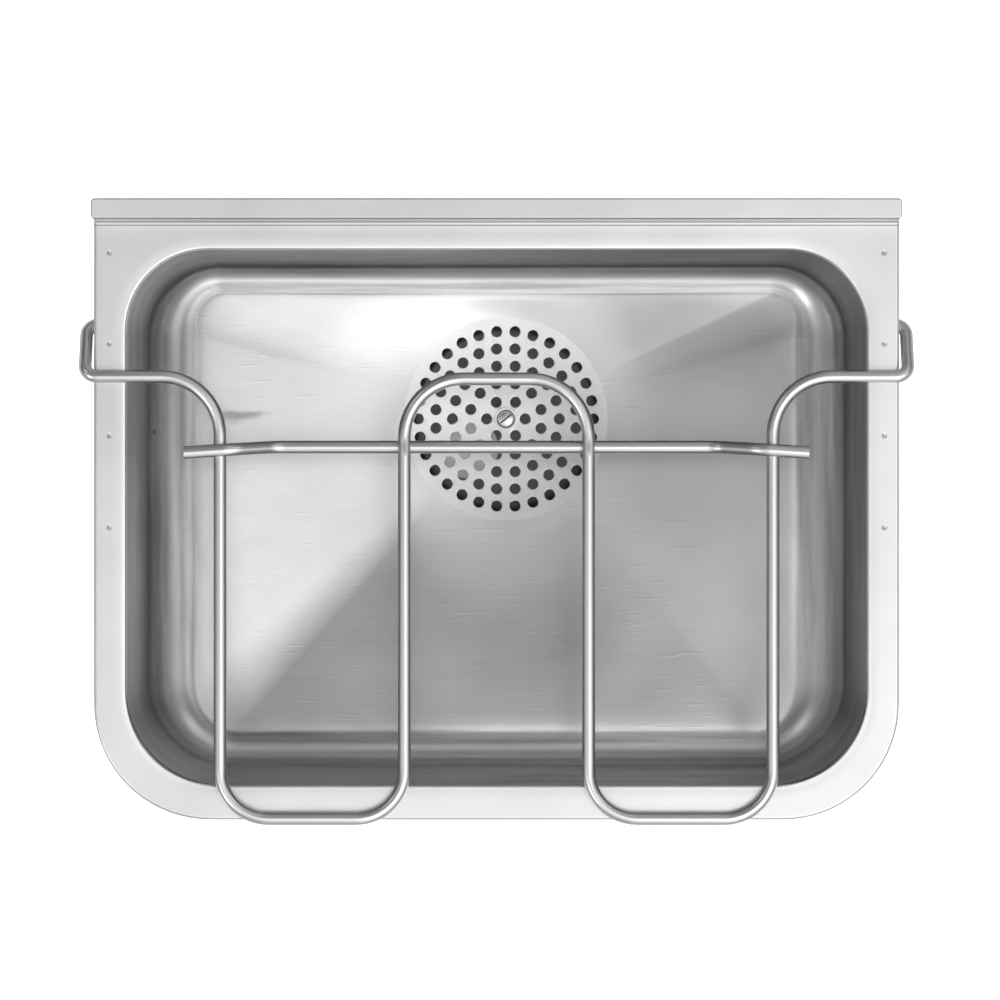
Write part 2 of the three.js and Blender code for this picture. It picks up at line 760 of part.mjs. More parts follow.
// The hexagonal coupling nut, chamfered at both ends, with a lip under the seal.
function makeOutletNut() {
  const top = nutBottom + NUT_HEIGHT;
  const bore = outletRadius + GAP;
  const lipBore = outletBore + GAP;
  const corner = (bore + NUT_WALL) / Math.cos(Math.PI / 6);
  const hexagon = new THREE.CylinderGeometry(corner, corner, NUT_HEIGHT, 6)
    .rotateX(Math.PI / 2)
    .translate(outlet.x, outlet.y, nutBottom + NUT_HEIGHT / 2);
  const turnedNut = turned(
    [
      [lipBore, nutBottom],
      [corner - NUT_CHAMFER, nutBottom],
      [corner, nutBottom + NUT_CHAMFER],
      [corner, top - NUT_CHAMFER],
      [corner - NUT_CHAMFER, top],
      [bore, top],
      [bore, nutBottom + NUT_LIP],
      [lipBore, nutBottom + NUT_LIP],
    ],
    outlet,
    OUTLET_SIDES,
  );
  return surfaceOf(solid(hexagon).intersect(solid(turnedNut)));
}

// ---- Bucket grid ------------------------------------------------------------------------------

// The centre line of a bent rod: straight runs between corner points, each corner turned on its
// own bend radius. It is sampled at the ends of the runs and along the bends only.
class BentRod extends THREE.Curve {
  constructor(points) {
    super();
    const places = points.map((point) => new THREE.Vector3(...point.at));
    this.stations = [];
    const add = (position, tangent) => this.stations.push({ position, tangent });
    const direction = (i) => places[i + 1].clone().sub(places[i]).normalize();
    add(places[0], direction(0));
    for (let i = 1; i < places.length - 1; i += 1) {
      const into = direction(i - 1);
      const away = direction(i);
      const turn = into.angleTo(away);
      const radius = points[i].bend;
      const start = places[i].clone().addScaledVector(into, -radius * Math.tan(turn / 2));
      const inward = away.clone().addScaledVector(into, -away.dot(into)).normalize();
      const steps = Math.max(1, Math.ceil((turn / (Math.PI / 2)) * BEND_STEPS));
      for (let step = 0; step <= steps; step += 1) {
        const angle = (turn * step) / steps;
        const position = start
          .clone()
          .addScaledVector(into, radius * Math.sin(angle))
          .addScaledVector(inward, radius * (1 - Math.cos(angle)));
        const tangent = into.clone().multiplyScalar(Math.cos(angle));
        add(position, tangent.addScaledVector(inward, Math.sin(angle)));
      }
    }
    add(places.at(-1), direction(places.length - 2));
  }

  get steps() {
    return this.stations.length - 1;
  }

  getPointAt(u, target = new THREE.Vector3()) {
    return target.copy(this.stations[Math.round(u * this.steps)].position);
  }

  getTangentAt(u, target = new THREE.Vector3()) {
    return target.copy(this.stations[Math.round(u * this.steps)].tangent);
  }
}

function rodAlong(points) {
  const path = new BentRod(points);
  const section = new THREE.Shape(
    arc([0, 0], rodRadius, 0, 360 - 360 / ROD_SIDES, ROD_SIDES - 1).map(
      ([u, v]) => new THREE.Vector2(u, v),
    ),
  );
  return closed(
    new THREE.ExtrudeGeometry(section, {
      steps: path.steps,
      extrudePath: path,
      bevelEnabled: false,
    }),
  );
}

// One rod from hook to hook. Each end passes through the skirt, turns back up outside it and
// crosses over the side rim, and four legs with wide bends between them lie over the bowl.
function makeGridRod() {
  const level = rodRadius + GAP;
  const hookX = WIDTH / 2 + HOOK_GAP + rodRadius;
  const endX = WIDTH / 2 - HOOK_END;
  const hookBend = HOOK_BEND + rodRadius;
  const sideY = -SIDE_RUN_FROM_WALL;
  const centreY = -CENTRE_RUN_FROM_WALL;
  const frontY = -(DEPTH + GRID_OVERHANG - rodRadius);
  const pivotY = -PIVOT_FROM_WALL;
  const half = (side) => [
    { at: [side * endX, pivotY, -PIVOT_DROP] },
    { at: [side * hookX, pivotY, -PIVOT_DROP], bend: hookBend },
    { at: [side * hookX, sideY, level], bend: hookBend },
    { at: [side * outerLeg, sideY, level], bend: GRID_BACK_BEND },
    { at: [side * outerLeg, frontY, level], bend: GRID_FRONT_BEND },
    { at: [side * innerLeg, frontY, level], bend: GRID_FRONT_BEND },
    { at: [side * innerLeg, centreY, level], bend: GRID_BACK_BEND },
  ];
  return rodAlong([...half(-1), ...half(1).reverse()]);
}

// The cross rod, welded under the two inner legs and joggled up over the two outer ones.
function makeCrossRod() {
  const level = rodRadius + GAP;
  const low = level - ROD - GAP;
  const high = level + ROD + GAP;
  const sweep = Math.tan(THREE.MathUtils.degToRad(CROSS_SWEEP));
  const endX = outerLeg + CROSS_OVERHANG;
  const joggleOut = outerLeg - JOGGLE_TO_LEG;
  const joggleIn = joggleOut - JOGGLE_RUN;
  const yAt = (x) => -CROSS_FROM_WALL - sweep * Math.max(0, x - joggleIn);
  const half = (side) => [
    { at: [side * endX, yAt(endX), high] },
    { at: [side * joggleOut, yAt(joggleOut), high], bend: JOGGLE_BEND },
    { at: [side * joggleIn, yAt(joggleIn), low], bend: JOGGLE_BEND },
  ];
  return rodAlong([...half(-1), ...half(1).reverse()]);
}

// ---- Assembly ---------------------------------------------------------------------------------

const brushedSteel = { color: 0xc9cacb, roughness: 0.32, metalness: 1 };
const drawnSteel = { color: 0xb9babb, roughness: 0.26, metalness: 1 };
const plainSteel = { color: 0xa9abad, roughness: 0.45, metalness: 1 };
const rubber = { color: 0x1b1b1c, roughness: 0.85, metalness: 0 };
const plastic = { color: 0x2c2d2f, roughness: 0.5, metalness: 0 };

const sink = new THREE.Group();
sink.name = 'mop_service_sink';

function addPiece(name, geometry, finish, parent = sink) {
  const flat = geometry.index ? geometry.toNonIndexed() : geometry;
  flat.computeVertexNormals();
  const mesh = new THREE.Mesh(flat, new THREE.MeshStandardMaterial(finish));
  mesh.name = name;
  parent.add(mesh);
}

addPiece('bowl', makeBowl(), brushedSteel);
addPiece('deck', makeDeck(), brushedSteel);
addPiece('strainer_disc', makeStrainerDisc(), brushedSteel);
addPiece('bracket_left', makeBracket(-1), plainSteel);
addPiece('bracket_right', makeBracket(1), plainSteel);
addPiece('drain_screw', makeDrainScrew(), drawnSteel);
addPiece('drain_gasket', makeDrainGasket(), rubber);
addPiece('drain_cup', makeDrainCup(), plainSteel);
addPiece('drain_post', makeDrainPost(), plainSteel);
addPiece('outlet_pipe', makeOutletPipe(), plainSteel);
addPiece('outlet_seal', makeOutletSeal(), rubber);
addPiece('outlet_nut', makeOutletNut(), plastic);

const grid = new THREE.Group();
sink.add(grid);
addPiece('grid_rod', makeGridRod(), drawnSteel, grid);
addPiece('grid_cross_rod', makeCrossRod(), drawnSteel, grid);

export default sink;
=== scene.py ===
# %% [markdown]
# # A wall-hung mop sink in stainless steel
#
# The object is pressed and folded sheet with one bent rod on it, so nearly every piece here is
# made the way the metal is: a row of vertices round an outline is pulled from place to place, as a
# press draws a sheet, and a round section is pushed straight and spun round its bends, as a tube
# bender does. All places are in metres, with +X to the right, +Y into the wall and +Z up, and the
# top of the rim lies at z = 0.

# %% Open the fixed frame
import math
from collections import namedtuple

import bmesh
import bpy
from mathutils import Matrix, Vector


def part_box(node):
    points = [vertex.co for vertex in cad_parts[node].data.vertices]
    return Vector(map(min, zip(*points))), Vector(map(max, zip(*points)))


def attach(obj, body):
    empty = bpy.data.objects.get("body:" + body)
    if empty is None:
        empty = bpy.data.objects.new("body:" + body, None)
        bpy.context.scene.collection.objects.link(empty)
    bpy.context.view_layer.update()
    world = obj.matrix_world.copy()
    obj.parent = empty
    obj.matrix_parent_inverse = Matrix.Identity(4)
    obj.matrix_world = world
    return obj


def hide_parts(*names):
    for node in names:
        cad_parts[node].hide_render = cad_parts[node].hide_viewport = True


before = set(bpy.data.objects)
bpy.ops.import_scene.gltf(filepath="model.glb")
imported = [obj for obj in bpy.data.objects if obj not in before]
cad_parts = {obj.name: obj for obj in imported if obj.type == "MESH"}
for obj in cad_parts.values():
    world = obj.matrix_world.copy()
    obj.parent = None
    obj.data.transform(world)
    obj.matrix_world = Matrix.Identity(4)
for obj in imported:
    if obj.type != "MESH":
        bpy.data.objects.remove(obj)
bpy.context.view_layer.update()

# %% [markdown]
# ## Sizes
#
# The frame already says how wide, deep and high each piece is, so those sizes are read from it.
# What a box can't tell, such as a bend radius or a draft angle, is written once here.

# %% Sizes read from the frame
MM = 0.001
SHEET = 1.2 * MM

deck_low, deck_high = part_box("deck")
bowl_low, bowl_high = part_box("bowl")
disc_low, disc_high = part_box("strainer_disc")
HALF = deck_high.x
FRONT = deck_low.y
OPENING_HALF = bowl_high.x - SHEET
OPENING_FRONT = bowl_low.y + SHEET
OPENING_BACK = bowl_high.y - SHEET
DRAIN = (disc_low + disc_high) / 2
FLOOR = disc_high.z
DISC_RADIUS = (disc_high.x - disc_low.x) / 2 + 0.3 * MM
print(f"rim {2 * HALF:.3f} m wide, opening {2 * OPENING_HALF:.3f} m, floor at {FLOOR:.3f} m")

# %% Sizes of the bends, drafts and lips
BACK_CORNER = 50 * MM
FRONT_CORNER = 60 * MM
RIM_CORNER = 72 * MM
RIM_BACK_CORNER = 3 * MM
RIM_OVERRUN = 6 * MM
LIP = 6 * MM
LIP_BEND = 1.6 * MM
RIM_BEND = 2 * MM
SKIRT = 30 * MM
DRAWN_WIDTH = 7 * MM  # strip of deck that the press pulled down beside the opening
DRAWN_DROP = 0.17 * MM
DRAFT = 3.5 * MM
DRAFT_BACK = 2.5 * MM
FILLET = 30 * MM
FILLET_BACK = 17 * MM
FILLET_FRONT = 22 * MM
FLOOR_RISE = 8 * MM  # how high the floor's edge lies above the strainer
FLOOR_DIP = 6 * MM  # how much less that is in the middle of the back
EDGE_EASE = 5 * MM  # how far the floor takes from the fillet to its full slope
SEAT_EASE = 60 * MM  # how far it takes to flatten again towards the strainer
SEAT_SHARE = 0.6  # share of the full slope that is left there
DISH = 1.3 * MM  # how deep the strainer sags in its middle
HAIR = 0.001 * MM  # too small to see, and enough to tell two faces apart

# %% [markdown]
# ## Tools of the workshop
#
# An operator acts on whatever is selected, so the first helpers take care of the selection. The
# others wrap what is done again and again: putting an object's place into its mesh, cutting or
# joining with a second solid, and smoothing.

# %% Selecting and editing
def only(piece):
    """Selects one object and makes it the active one."""
    bpy.ops.object.select_all(action="DESELECT")
    piece.select_set(True)
    bpy.context.view_layer.objects.active = piece
    return piece


def added(name):
    """The object an add operator has just made, named, with its place moved into its mesh."""
    piece = bpy.context.object
    piece.name = piece.data.name = name
    bpy.ops.object.transform_apply(location=True, rotation=True, scale=True)
    return only(piece)


def edit(piece, kind="FACE"):
    """Opens a piece in edit mode, with nothing selected."""
    only(piece)
    bpy.ops.object.mode_set(mode="EDIT")
    bpy.ops.mesh.select_mode(type=kind)
    bpy.ops.mesh.select_all(action="DESELECT")


def pick(piece, kind, test):
    """In edit mode, selects the faces or edges that pass a test."""
    shape = bmesh.from_edit_mesh(piece.data)
    parts = shape.faces if kind == "FACE" else shape.edges
    for part in parts:
        part.select_set(bool(test(part)))
    bmesh.update_edit_mesh(piece.data)


def done():
    """Leaves edit mode."""
    bpy.ops.object.mode_set(mode="OBJECT")


def middle(part):
    """The middle of a face or an edge."""
    return sum((v.co for v in part.verts), Vector()) / len(part.verts)


# %% Modifiers, cuts and smoothing
def bevelled(piece, test, width, steps):
    """In edit mode, rounds the edges that pass a test."""
    pick(piece, "EDGE", test)
    bpy.ops.mesh.bevel(offset=width, segments=steps, affect="EDGES")


def with_modifier(piece, kind, **settings):
    """Adds a modifier, sets it and applies it."""
    only(piece)
    bpy.ops.object.modifier_add(type=kind)
    modifier = piece.modifiers[-1]
    for name, value in settings.items():
        setattr(modifier, name, value)
    bpy.ops.object.modifier_apply(modifier=modifier.name)
    return piece


def thickened(piece, wall=SHEET, even=True):
    """Gives a skin its wall, on the side that its faces don't look to."""
    return with_modifier(piece, "SOLIDIFY", thickness=wall, offset=-1, use_even_offset=even)


def combine(piece, tool, operation="DIFFERENCE"):
    """Cuts a piece with a second solid, or joins them, and throws the second one away."""
    with_modifier(piece, "BOOLEAN", operation=operation, solver="EXACT", object=tool)
    bpy.data.objects.remove(tool)
    return piece


def joined(pieces):
    """Several objects as one."""
    only(pieces[0])
    for piece in pieces:
        piece.select_set(True)
    bpy.ops.object.join()
    return pieces[0]


def smooth(piece, degrees=35):
    """Smooth shading over bends, with flat faces kept flat."""
    only(piece)
    bpy.ops.object.shade_smooth_by_angle(angle=math.radians(degrees))
    return with_modifier(piece, "WEIGHTED_NORMAL", keep_sharp=True)


def outward(piece):
    """Turns every face of a closed piece outwards."""
    edit(piece)
    bpy.ops.mesh.select_all(action="SELECT")
    bpy.ops.mesh.remove_doubles(threshold=HAIR)
    bpy.ops.mesh.normals_make_consistent(inside=False)
    done()
    return piece


def told(piece):
    """Says how many faces a finished piece has."""
    print(piece.name, "has", len(piece.data.polygons), "faces")
    return piece


# %% Blocks and bars
def block(low, high, name="block"):
    """A box between two corners, to shape further or to cut with."""
    low, high = Vector(low), Vector(high)
    bpy.ops.mesh.primitive_cube_add(size=1, location=(low + high) / 2, scale=high - low)
    return added(name)


def bar(centre, radius, length, axis="Z", sides=32, name="bar"):
    """A round bar on a centre, to shape further or to cut with."""
    turn = {"X": (0, math.pi / 2, 0), "Y": (math.pi / 2, 0, 0), "Z": (0, 0, 0)}[axis]
    bpy.ops.mesh.primitive_cylinder_add(
        vertices=sides, radius=radius, depth=length, location=centre, rotation=turn
    )
    return added(name)


# %% [markdown]
# ## Pulling a sheet
#
# A drawn bowl could be built from a grid that is pushed into shape, or lofted between curves. The
# way here is closer to the press: one row of vertices stands round the outline, and each extrude
# makes the next row, which is then set on its own line. Every vertex keeps its number in a layer,
# so that row after row the same vertex finds its own place.

# %% Rows of vertices
def set_row(piece, row):
    """Puts the selected vertices on a row of places, each by its own number."""
    shape = bmesh.from_edit_mesh(piece.data)
    number = shape.verts.layers.int["number"]
    for vertex in shape.verts:
        if vertex.select:
            vertex.co = row[vertex[number]]
    bmesh.update_edit_mesh(piece.data)


def pulled(name, rows, closed=False, filled=False):
    """A skin pulled over rows of places. A closed one comes back to its first row, and a filled
    one has a flat face inside its first row."""
    count = len(rows[0])
    fill = "NGON" if filled else "NOTHING"
    bpy.ops.mesh.primitive_circle_add(vertices=count, fill_type=fill)
    piece = added(name)
    numbers = piece.data.attributes.new("number", "INT", "POINT")
    numbers.data.foreach_set("value", range(count))
    edit(piece, "EDGE")
    bpy.ops.mesh.select_all(action="SELECT")
    set_row(piece, rows[0])
    for row in rows[1:] + (rows[:1] if closed else []):
        bpy.ops.mesh.select_mode(type="EDGE")
        bpy.ops.mesh.extrude_edges_move()
        set_row(piece, row)
    done()
    piece.data.attributes.remove(piece.data.attributes["number"])
    return piece


def face_up(piece, near):
    """Turns an open skin so that its face nearest a place looks up."""
    edit(piece)
    bpy.ops.mesh.select_all(action="SELECT")
    bpy.ops.mesh.normals_make_consistent(inside=False)
    shape = bmesh.from_edit_mesh(piece.data)
    nearest = min(shape.faces, key=lambda face: (middle(face) - Vector(near)).length)
    if nearest.normal.z < 0:
        bpy.ops.mesh.flip_normals()
    done()
    return piece


def circle(centre, radius, height, sides):
    """A row of places round a vertical line. The radius can be a number or a rule for an angle."""
    places = []
    for k in range(sides):
        angle = 2 * math.pi * k / sides
        reach = radius(angle) if callable(radius) else radius
        x, y = centre.x + reach * math.cos(angle), centre.y + reach * math.sin(angle)
        places.append(Vector((x, y, height)))
    return places


def bend(centre, radius, start, end, steps):
    """(distance, height) pairs round a bend, seen in section, from one angle to another."""
    angles = [math.radians(start + (end - start) * i / steps) for i in range(steps + 1)]
    return [(centre[0] + radius * math.cos(a), centre[1] + radius * math.sin(a)) for a in angles]


# %% [markdown]
# ## The outline of the sink
#
# The opening and the rim are both rectangles with round corners. The places along the straight
# sides stand where even rays from the drain cross them, because the floor's creases run along
# those rays. Both outlines use the same shares of each side, so their rows fit each other.

# %% Places round an opening or an edge
CORNER_STEPS = 18
SIDE_STEPS = (40, 20, 30, 20)  # back, left, front, right
Place = namedtuple("Place", "x y out_x out_y back front")


def corners(half, back, front, back_radius, front_radius):
    """(x, y, radius, first angle) of the four corner arcs, anticlockwise from the back right."""
    return (
        (half - back_radius, back - back_radius, back_radius, 0),
        (back_radius - half, back - back_radius, back_radius, 90),
        (front_radius - half, front + front_radius, front_radius, 180),
        (half - front_radius, front + front_radius, front_radius, 270),
    )


def on_corner(corner, degrees, back=0.0, front=0.0):
    x, y, radius, first = corner
    angle = math.radians(first + degrees)
    out_x, out_y = math.cos(angle), math.sin(angle)
    return Place(x + radius * out_x, y + radius * out_y, out_x, out_y, back, front)


def shares_of_side(start, end, steps):
    """How far along a straight side even rays from the drain cross it, from 0 to 1."""
    first = math.atan2(start.y - DRAIN.y, start.x - DRAIN.x)
    sweep = (math.atan2(end.y - DRAIN.y, end.x - DRAIN.x) - first) % (2 * math.pi)
    side = Vector((end.x - start.x, end.y - start.y))
    to_drain = Vector((DRAIN.x - start.x, DRAIN.y - start.y))
    shares = []
    for step in range(1, steps):
        angle = first + sweep * step / steps
        ray = Vector((math.cos(angle), math.sin(angle)))
        shares.append(to_drain.cross(ray) / side.cross(ray))
    return shares


OPENING = corners(OPENING_HALF, OPENING_BACK, OPENING_FRONT, BACK_CORNER, FRONT_CORNER)
RIM = corners(HALF, RIM_OVERRUN, FRONT, RIM_BACK_CORNER, RIM_CORNER)
SIDE_SHARES = [
    shares_of_side(on_corner(OPENING[i], 90), on_corner(OPENING[(i + 1) % 4], 0), SIDE_STEPS[i])
    for i in range(4)
]


def places_round(arcs):
    """All places round an outline. `back` is 1 along the back and fades out round its corners,
    and `front` does the same at the front."""
    places = []
    for i, corner in enumerate(arcs):
        for step in range(CORNER_STEPS + 1):
            turn = 90 * step / CORNER_STEPS
            from_side = turn if i % 2 == 0 else 90 - turn
            share = math.sin(math.radians(from_side)) ** 2
            back, front = (share, 0.0) if i < 2 else (0.0, share)
            places.append(on_corner(corner, turn, back, front))
        start, end = on_corner(corner, 90), on_corner(arcs[(i + 1) % 4], 0)
        for share in SIDE_SHARES[i]:
            x = start.x + (end.x - start.x) * share
            y = start.y + (end.y - start.y) * share
            places.append(Place(x, y, start.out_x, start.out_y, float(i == 0), float(i == 2)))
    return places


def row(places, inset, height):
    """The places moved inwards and set at a height. Both can be a number or a rule for a place."""
    inward = inset if callable(inset) else lambda p: inset
    level = height if callable(height) else lambda p: height
    return [
        Vector((p.x - p.out_x * inward(p), p.y - p.out_y * inward(p), level(p))) for p in places
    ]


opening = places_round(OPENING)
rim = places_round(RIM)
print("each row has", len(opening), "places")

# %% [markdown]
# ## The bowl
#
# The bowl is one drawn tub. Its walls lean in a little, so that it came off the punch, and run
# into the floor through a wide fillet, tighter at the front and tighter still at the back. The
# floor is made of four shallow facets that fall to the strainer. They leave the fillet level, reach
# their full slope within a few millimetres and flatten again towards the strainer, whose dished
# disc goes on with about the same slope, so that hardly a ring shows round it. Pulling the sheet
# from the weld under the rim down to the drain gives exactly these rows. Two values are painted on
# the vertices for the finish: how dull a row is and how much painted light and shade it gets, and
# which vertices are on the outside.

# %% The bowl's section
FILLET_STEPS = 12
WALL_STEPS = 4
FLOOR_STEPS = 16
FADE_STEPS = 5  # rows of the floor over which the dull walls and their painted shade fade out
FLOOR_EDGE_DULL_AND_SHADE = 0.12  # the dullness where the radius meets the floor


def draft(place):
    """How far the wall leans in on its way down."""
    return DRAFT + (DRAFT_BACK - DRAFT) * place.back


def fillet(place):
    """The radius between the wall and the floor."""
    tighter_back = (FILLET_BACK - FILLET) * place.back
    tighter_front = (FILLET_FRONT - FILLET) * place.front
    return FILLET + tighter_back + tighter_front


def floor_height(place):
    """The height of the floor's edge, which is lower in the middle of the back."""
    dip = place.back * math.cos(math.pi * place.x / (2 * OPENING_HALF)) ** 2
    return FLOOR + FLOOR_RISE - FLOOR_DIP * dip


def fillet_row(degrees):
    """A row along the radius, from 0 degrees at the wall to 90 on the floor."""
    sine, cosine = math.sin(math.radians(degrees)), math.cos(math.radians(degrees))
    return row(
        opening,
        lambda p: draft(p) + fillet(p) * (1 - cosine),
        lambda p: floor_height(p) + fillet(p) * (1 - sine),
    )


def round_drain(floor_edge):
    """A ring on the strainer's edge, each place on the ray to its own place of the floor's edge."""
    places = []
    for p in floor_edge:
        ray = Vector((p.x - DRAIN.x, p.y - DRAIN.y)).normalized() * DISC_RADIUS
        places.append(Vector((DRAIN.x + ray.x, DRAIN.y + ray.y, FLOOR)))
    return places


def eased(run, length):
    """How much of the floor's fall is done after a run: level where it leaves the fillet, steepest
    in between and flatter towards the strainer."""
    out, into = min(EDGE_EASE, length / 2), min(SEAT_EASE, length / 2)
    flatter = (1 - SEAT_SHARE) / (2 * into)
    total = length - out / 2 - flatter * into**2
    left = length - run
    if run < out:
        return run**2 / (2 * out) / total
    if left > into:
        return (run - out / 2) / total
    return 1 - (SEAT_SHARE * left + flatter * left**2) / total


# %% Draw the bowl
def dullness_and_shade_of(number):
    """1 for the rows of the wall, falling through the fillet's rows and the floor's first few."""
    in_fillet = max(0, number - WALL_STEPS) / FILLET_STEPS
    on_floor = number - WALL_STEPS - FILLET_STEPS
    if on_floor > 0:
        return FLOOR_EDGE_DULL_AND_SHADE * max(0.0, 1 - on_floor / FADE_STEPS)
    return FLOOR_EDGE_DULL_AND_SHADE + (1 - FLOOR_EDGE_DULL_AND_SHADE) * math.cos(in_fillet * math.pi / 2)


def painted(piece, name, value_of):
    """Gives every vertex a value by its number, for the finish to read."""
    values = piece.data.attributes.new(name, "FLOAT", "POINT").data
    for i, value in enumerate(values):
        value.value = value_of(i)


def floor_row(number, floor_edge, drain_edge):
    """A row of the floor. The rows lie closer together at the fillet and at the strainer."""
    share = (1 - math.cos(math.pi * number / FLOOR_STEPS)) / 2
    places = []
    for outer, inner in zip(floor_edge, drain_edge):
        length = (outer - inner).length
        place = outer.lerp(inner, share)
        place.z = outer.z + (inner.z - outer.z) * eased(share * length, length)
        places.append(place)
    return places


def make_bowl():
    top, fillet_top, floor_edge = row(opening, 0, -LIP), fillet_row(0), fillet_row(90)
    drain_edge = round_drain(floor_edge)
    rows = [[a.lerp(b, i / WALL_STEPS) for a, b in zip(top, fillet_top)] for i in range(WALL_STEPS)]
    rows += [fillet_row(90 * i / FILLET_STEPS) for i in range(FILLET_STEPS + 1)]
    rows += [floor_row(i, floor_edge, drain_edge) for i in range(1, FLOOR_STEPS + 1)]
    skin = pulled("bowl_shell", rows)
    painted(skin, "dullness_and_shade", lambda i: dullness_and_shade_of(i // len(opening)))
    face_up(skin, floor_edge[0].lerp(drain_edge[0], 0.5))
    inside = len(skin.data.vertices)
    thickened(skin, even=False)
    painted(skin, "outside", lambda i: float(i >= inside))
    return smooth(skin)


bowl = told(make_bowl())

# %% [markdown]
# ## The deck
#
# The deck is one blank. A press pulled a short lip down into the opening, and the bowl is welded
# to that lip and ground flush. Round the edge the sheet is turned down as a skirt, and at the wall
# it turns up into a box-shaped upstand. The rim is pulled as rows from the lip to the skirt, and
# the upstand is a bevelled box, opened underneath and joined on, because its ends are welded shut.

# %% Fold the rim
BEND_STEPS = 7
DRAWN_STEPS = 4


def drawn_edge():
    """(distance outside the opening, height) from the lip's foot to the level deck."""
    slope = math.degrees(math.atan(2 * DRAWN_DROP / DRAWN_WIDTH))
    centre = (LIP_BEND, -DRAWN_DROP - LIP_BEND)
    pairs = [(0, -LIP)] + bend(centre, LIP_BEND, 180, 90 + slope, BEND_STEPS)
    for i in range(DRAWN_STEPS + 1):
        share = i / DRAWN_STEPS
        pairs.append((LIP_BEND + DRAWN_WIDTH * share, -DRAWN_DROP * (1 - share) ** 2))
    return pairs


def make_rim_pan():
    rows = [row(opening, -out, height) for out, height in drawn_edge()]
    outer_bend = bend((RIM_BEND, -RIM_BEND), RIM_BEND, 90, 180, BEND_STEPS)
    rows += [row(rim, inward, height) for inward, height in outer_bend]
    rows.append(row(rim, 0, -SKIRT))
    pan = face_up(pulled("rim_pan", rows), (0, (FRONT + OPENING_FRONT) / 2, 0))
    return thickened(pan)


# %% Fold the upstand
UPSTAND_DEPTH = 13 * MM
UPSTAND_CORNER = 2.6 * MM
UPSTAND_BEND = 1.1 * MM
UPSTAND_FOOT = 2.4 * MM
REAR_FLANGE = 8 * MM
SKIRT_TO_WALL = 1 * MM
CLEAR = 10 * MM  # how far a cutting block stands out past what it cuts
LAP = 0.5 * MM


def make_upstand():
    """The riser, return, rear flange and both ends, open underneath."""
    box = block((-HALF, -UPSTAND_DEPTH, -REAR_FLANGE), (HALF, 0, deck_high.z), "upstand")
    edit(box, "EDGE")
    bevelled(box, lambda e: abs(e.verts[0].co.z - e.verts[1].co.z) > CLEAR, UPSTAND_CORNER, 6)
    bevelled(box, lambda e: min(v.co.z for v in e.verts) > deck_high.z - LAP / 2, UPSTAND_BEND, 5)
    bpy.ops.mesh.select_mode(type="FACE")
    pick(box, "FACE", lambda f: f.normal.z < -0.9)
    bpy.ops.mesh.delete(type="FACE")
    done()
    thickened(box)
    inside = HALF - SHEET
    under_riser = block(
        (-inside, -UPSTAND_DEPTH - CLEAR, -REAR_FLANGE - CLEAR),
        (inside, -UPSTAND_DEPTH + UPSTAND_CORNER, UPSTAND_FOOT),
    )
    return combine(box, under_riser)


def make_upstand_foot():
    """The bend between the deck and the riser: a narrow strip, spun up and pulled on."""
    inside = HALF - SHEET
    end = -(UPSTAND_DEPTH + UPSTAND_FOOT)
    bpy.ops.mesh.primitive_plane_add(size=1, location=(0, end - LAP / 2, 0))
    bpy.context.object.scale = (2 * inside, LAP, 1)
    strip = added("upstand_foot")
    edit(strip, "EDGE")
    pick(strip, "EDGE", lambda e: middle(e).y > end - LAP / 4)
    bpy.ops.mesh.spin(
        steps=6, angle=-math.pi / 2, center=(0, end, UPSTAND_FOOT), axis=(1, 0, 0)
    )
    bpy.ops.mesh.extrude_edges_move(TRANSFORM_OT_translate={"value": (0, 0, LAP)})
    done()
    return thickened(face_up(strip, (0, end, 0)))


# %% [markdown]
# Each side rim shows four small craters in a row: the electrodes of a spot welder pressed them
# when the brackets were joined underneath. They could be painted with a bump, but real craters
# catch the light from every side, so four flat spheres are cut into each rim.

# %% Join the deck
PIVOT_FROM_WALL = 76.5 * MM
PIVOT_DROP = 15 * MM
PIVOT_HOLE = 5.5 * MM  # radius
WELD_X = 240.6 * MM
WELD_FROM_WALL = (32.5 * MM, 89 * MM, 146 * MM, 203 * MM)
WELD_RADIUS = 1.9 * MM
WELD_DEPTH = 0.22 * MM


def pivot_bar():
    return bar((0, -PIVOT_FROM_WALL, -PIVOT_DROP), PIVOT_HOLE, 2 * HALF + CLEAR, "X", sides=40)


def weld_craters():
    """Eight balls whose lowest parts dip into the rim."""
    ball = (WELD_RADIUS**2 + WELD_DEPTH**2) / (2 * WELD_DEPTH)
    balls = []
    for side in (-1, 1):
        for from_wall in WELD_FROM_WALL:
            place = (side * WELD_X, -from_wall, ball - WELD_DEPTH)
            bpy.ops.mesh.primitive_uv_sphere_add(
                segments=64, ring_count=96, radius=ball, location=place
            )
            balls.append(added("weld_crater"))
    return joined(balls)


def make_deck():
    deck = make_rim_pan()
    below = -SKIRT - CLEAR
    inside = HALF - RIM_BEND - LAP
    behind = block((-inside, -UPSTAND_DEPTH - UPSTAND_FOOT, below), (inside, CLEAR, CLEAR))
    past_wall = block((-2 * HALF, -SKIRT_TO_WALL, below), (2 * HALF, 2 * RIM_OVERRUN, CLEAR))
    combine(deck, behind)
    combine(deck, past_wall)
    combine(deck, make_upstand(), "UNION")
    combine(deck, make_upstand_foot(), "UNION")
    combine(deck, pivot_bar())
    combine(deck, weld_craters())
    deck.name = deck.data.name = "deck_shell"
    return smooth(deck)


deck = told(make_deck())

# %% [markdown]
# ## The strainer
#
# Ninety holes in five rings are punched in a disc. Each ring has six holes more than the last and
# starts half a step off the vertical. A punch leaves the rim of a hole slightly rolled in, and
# those rims shine as thin rings in the light, so the rims are bevelled in the mesh.

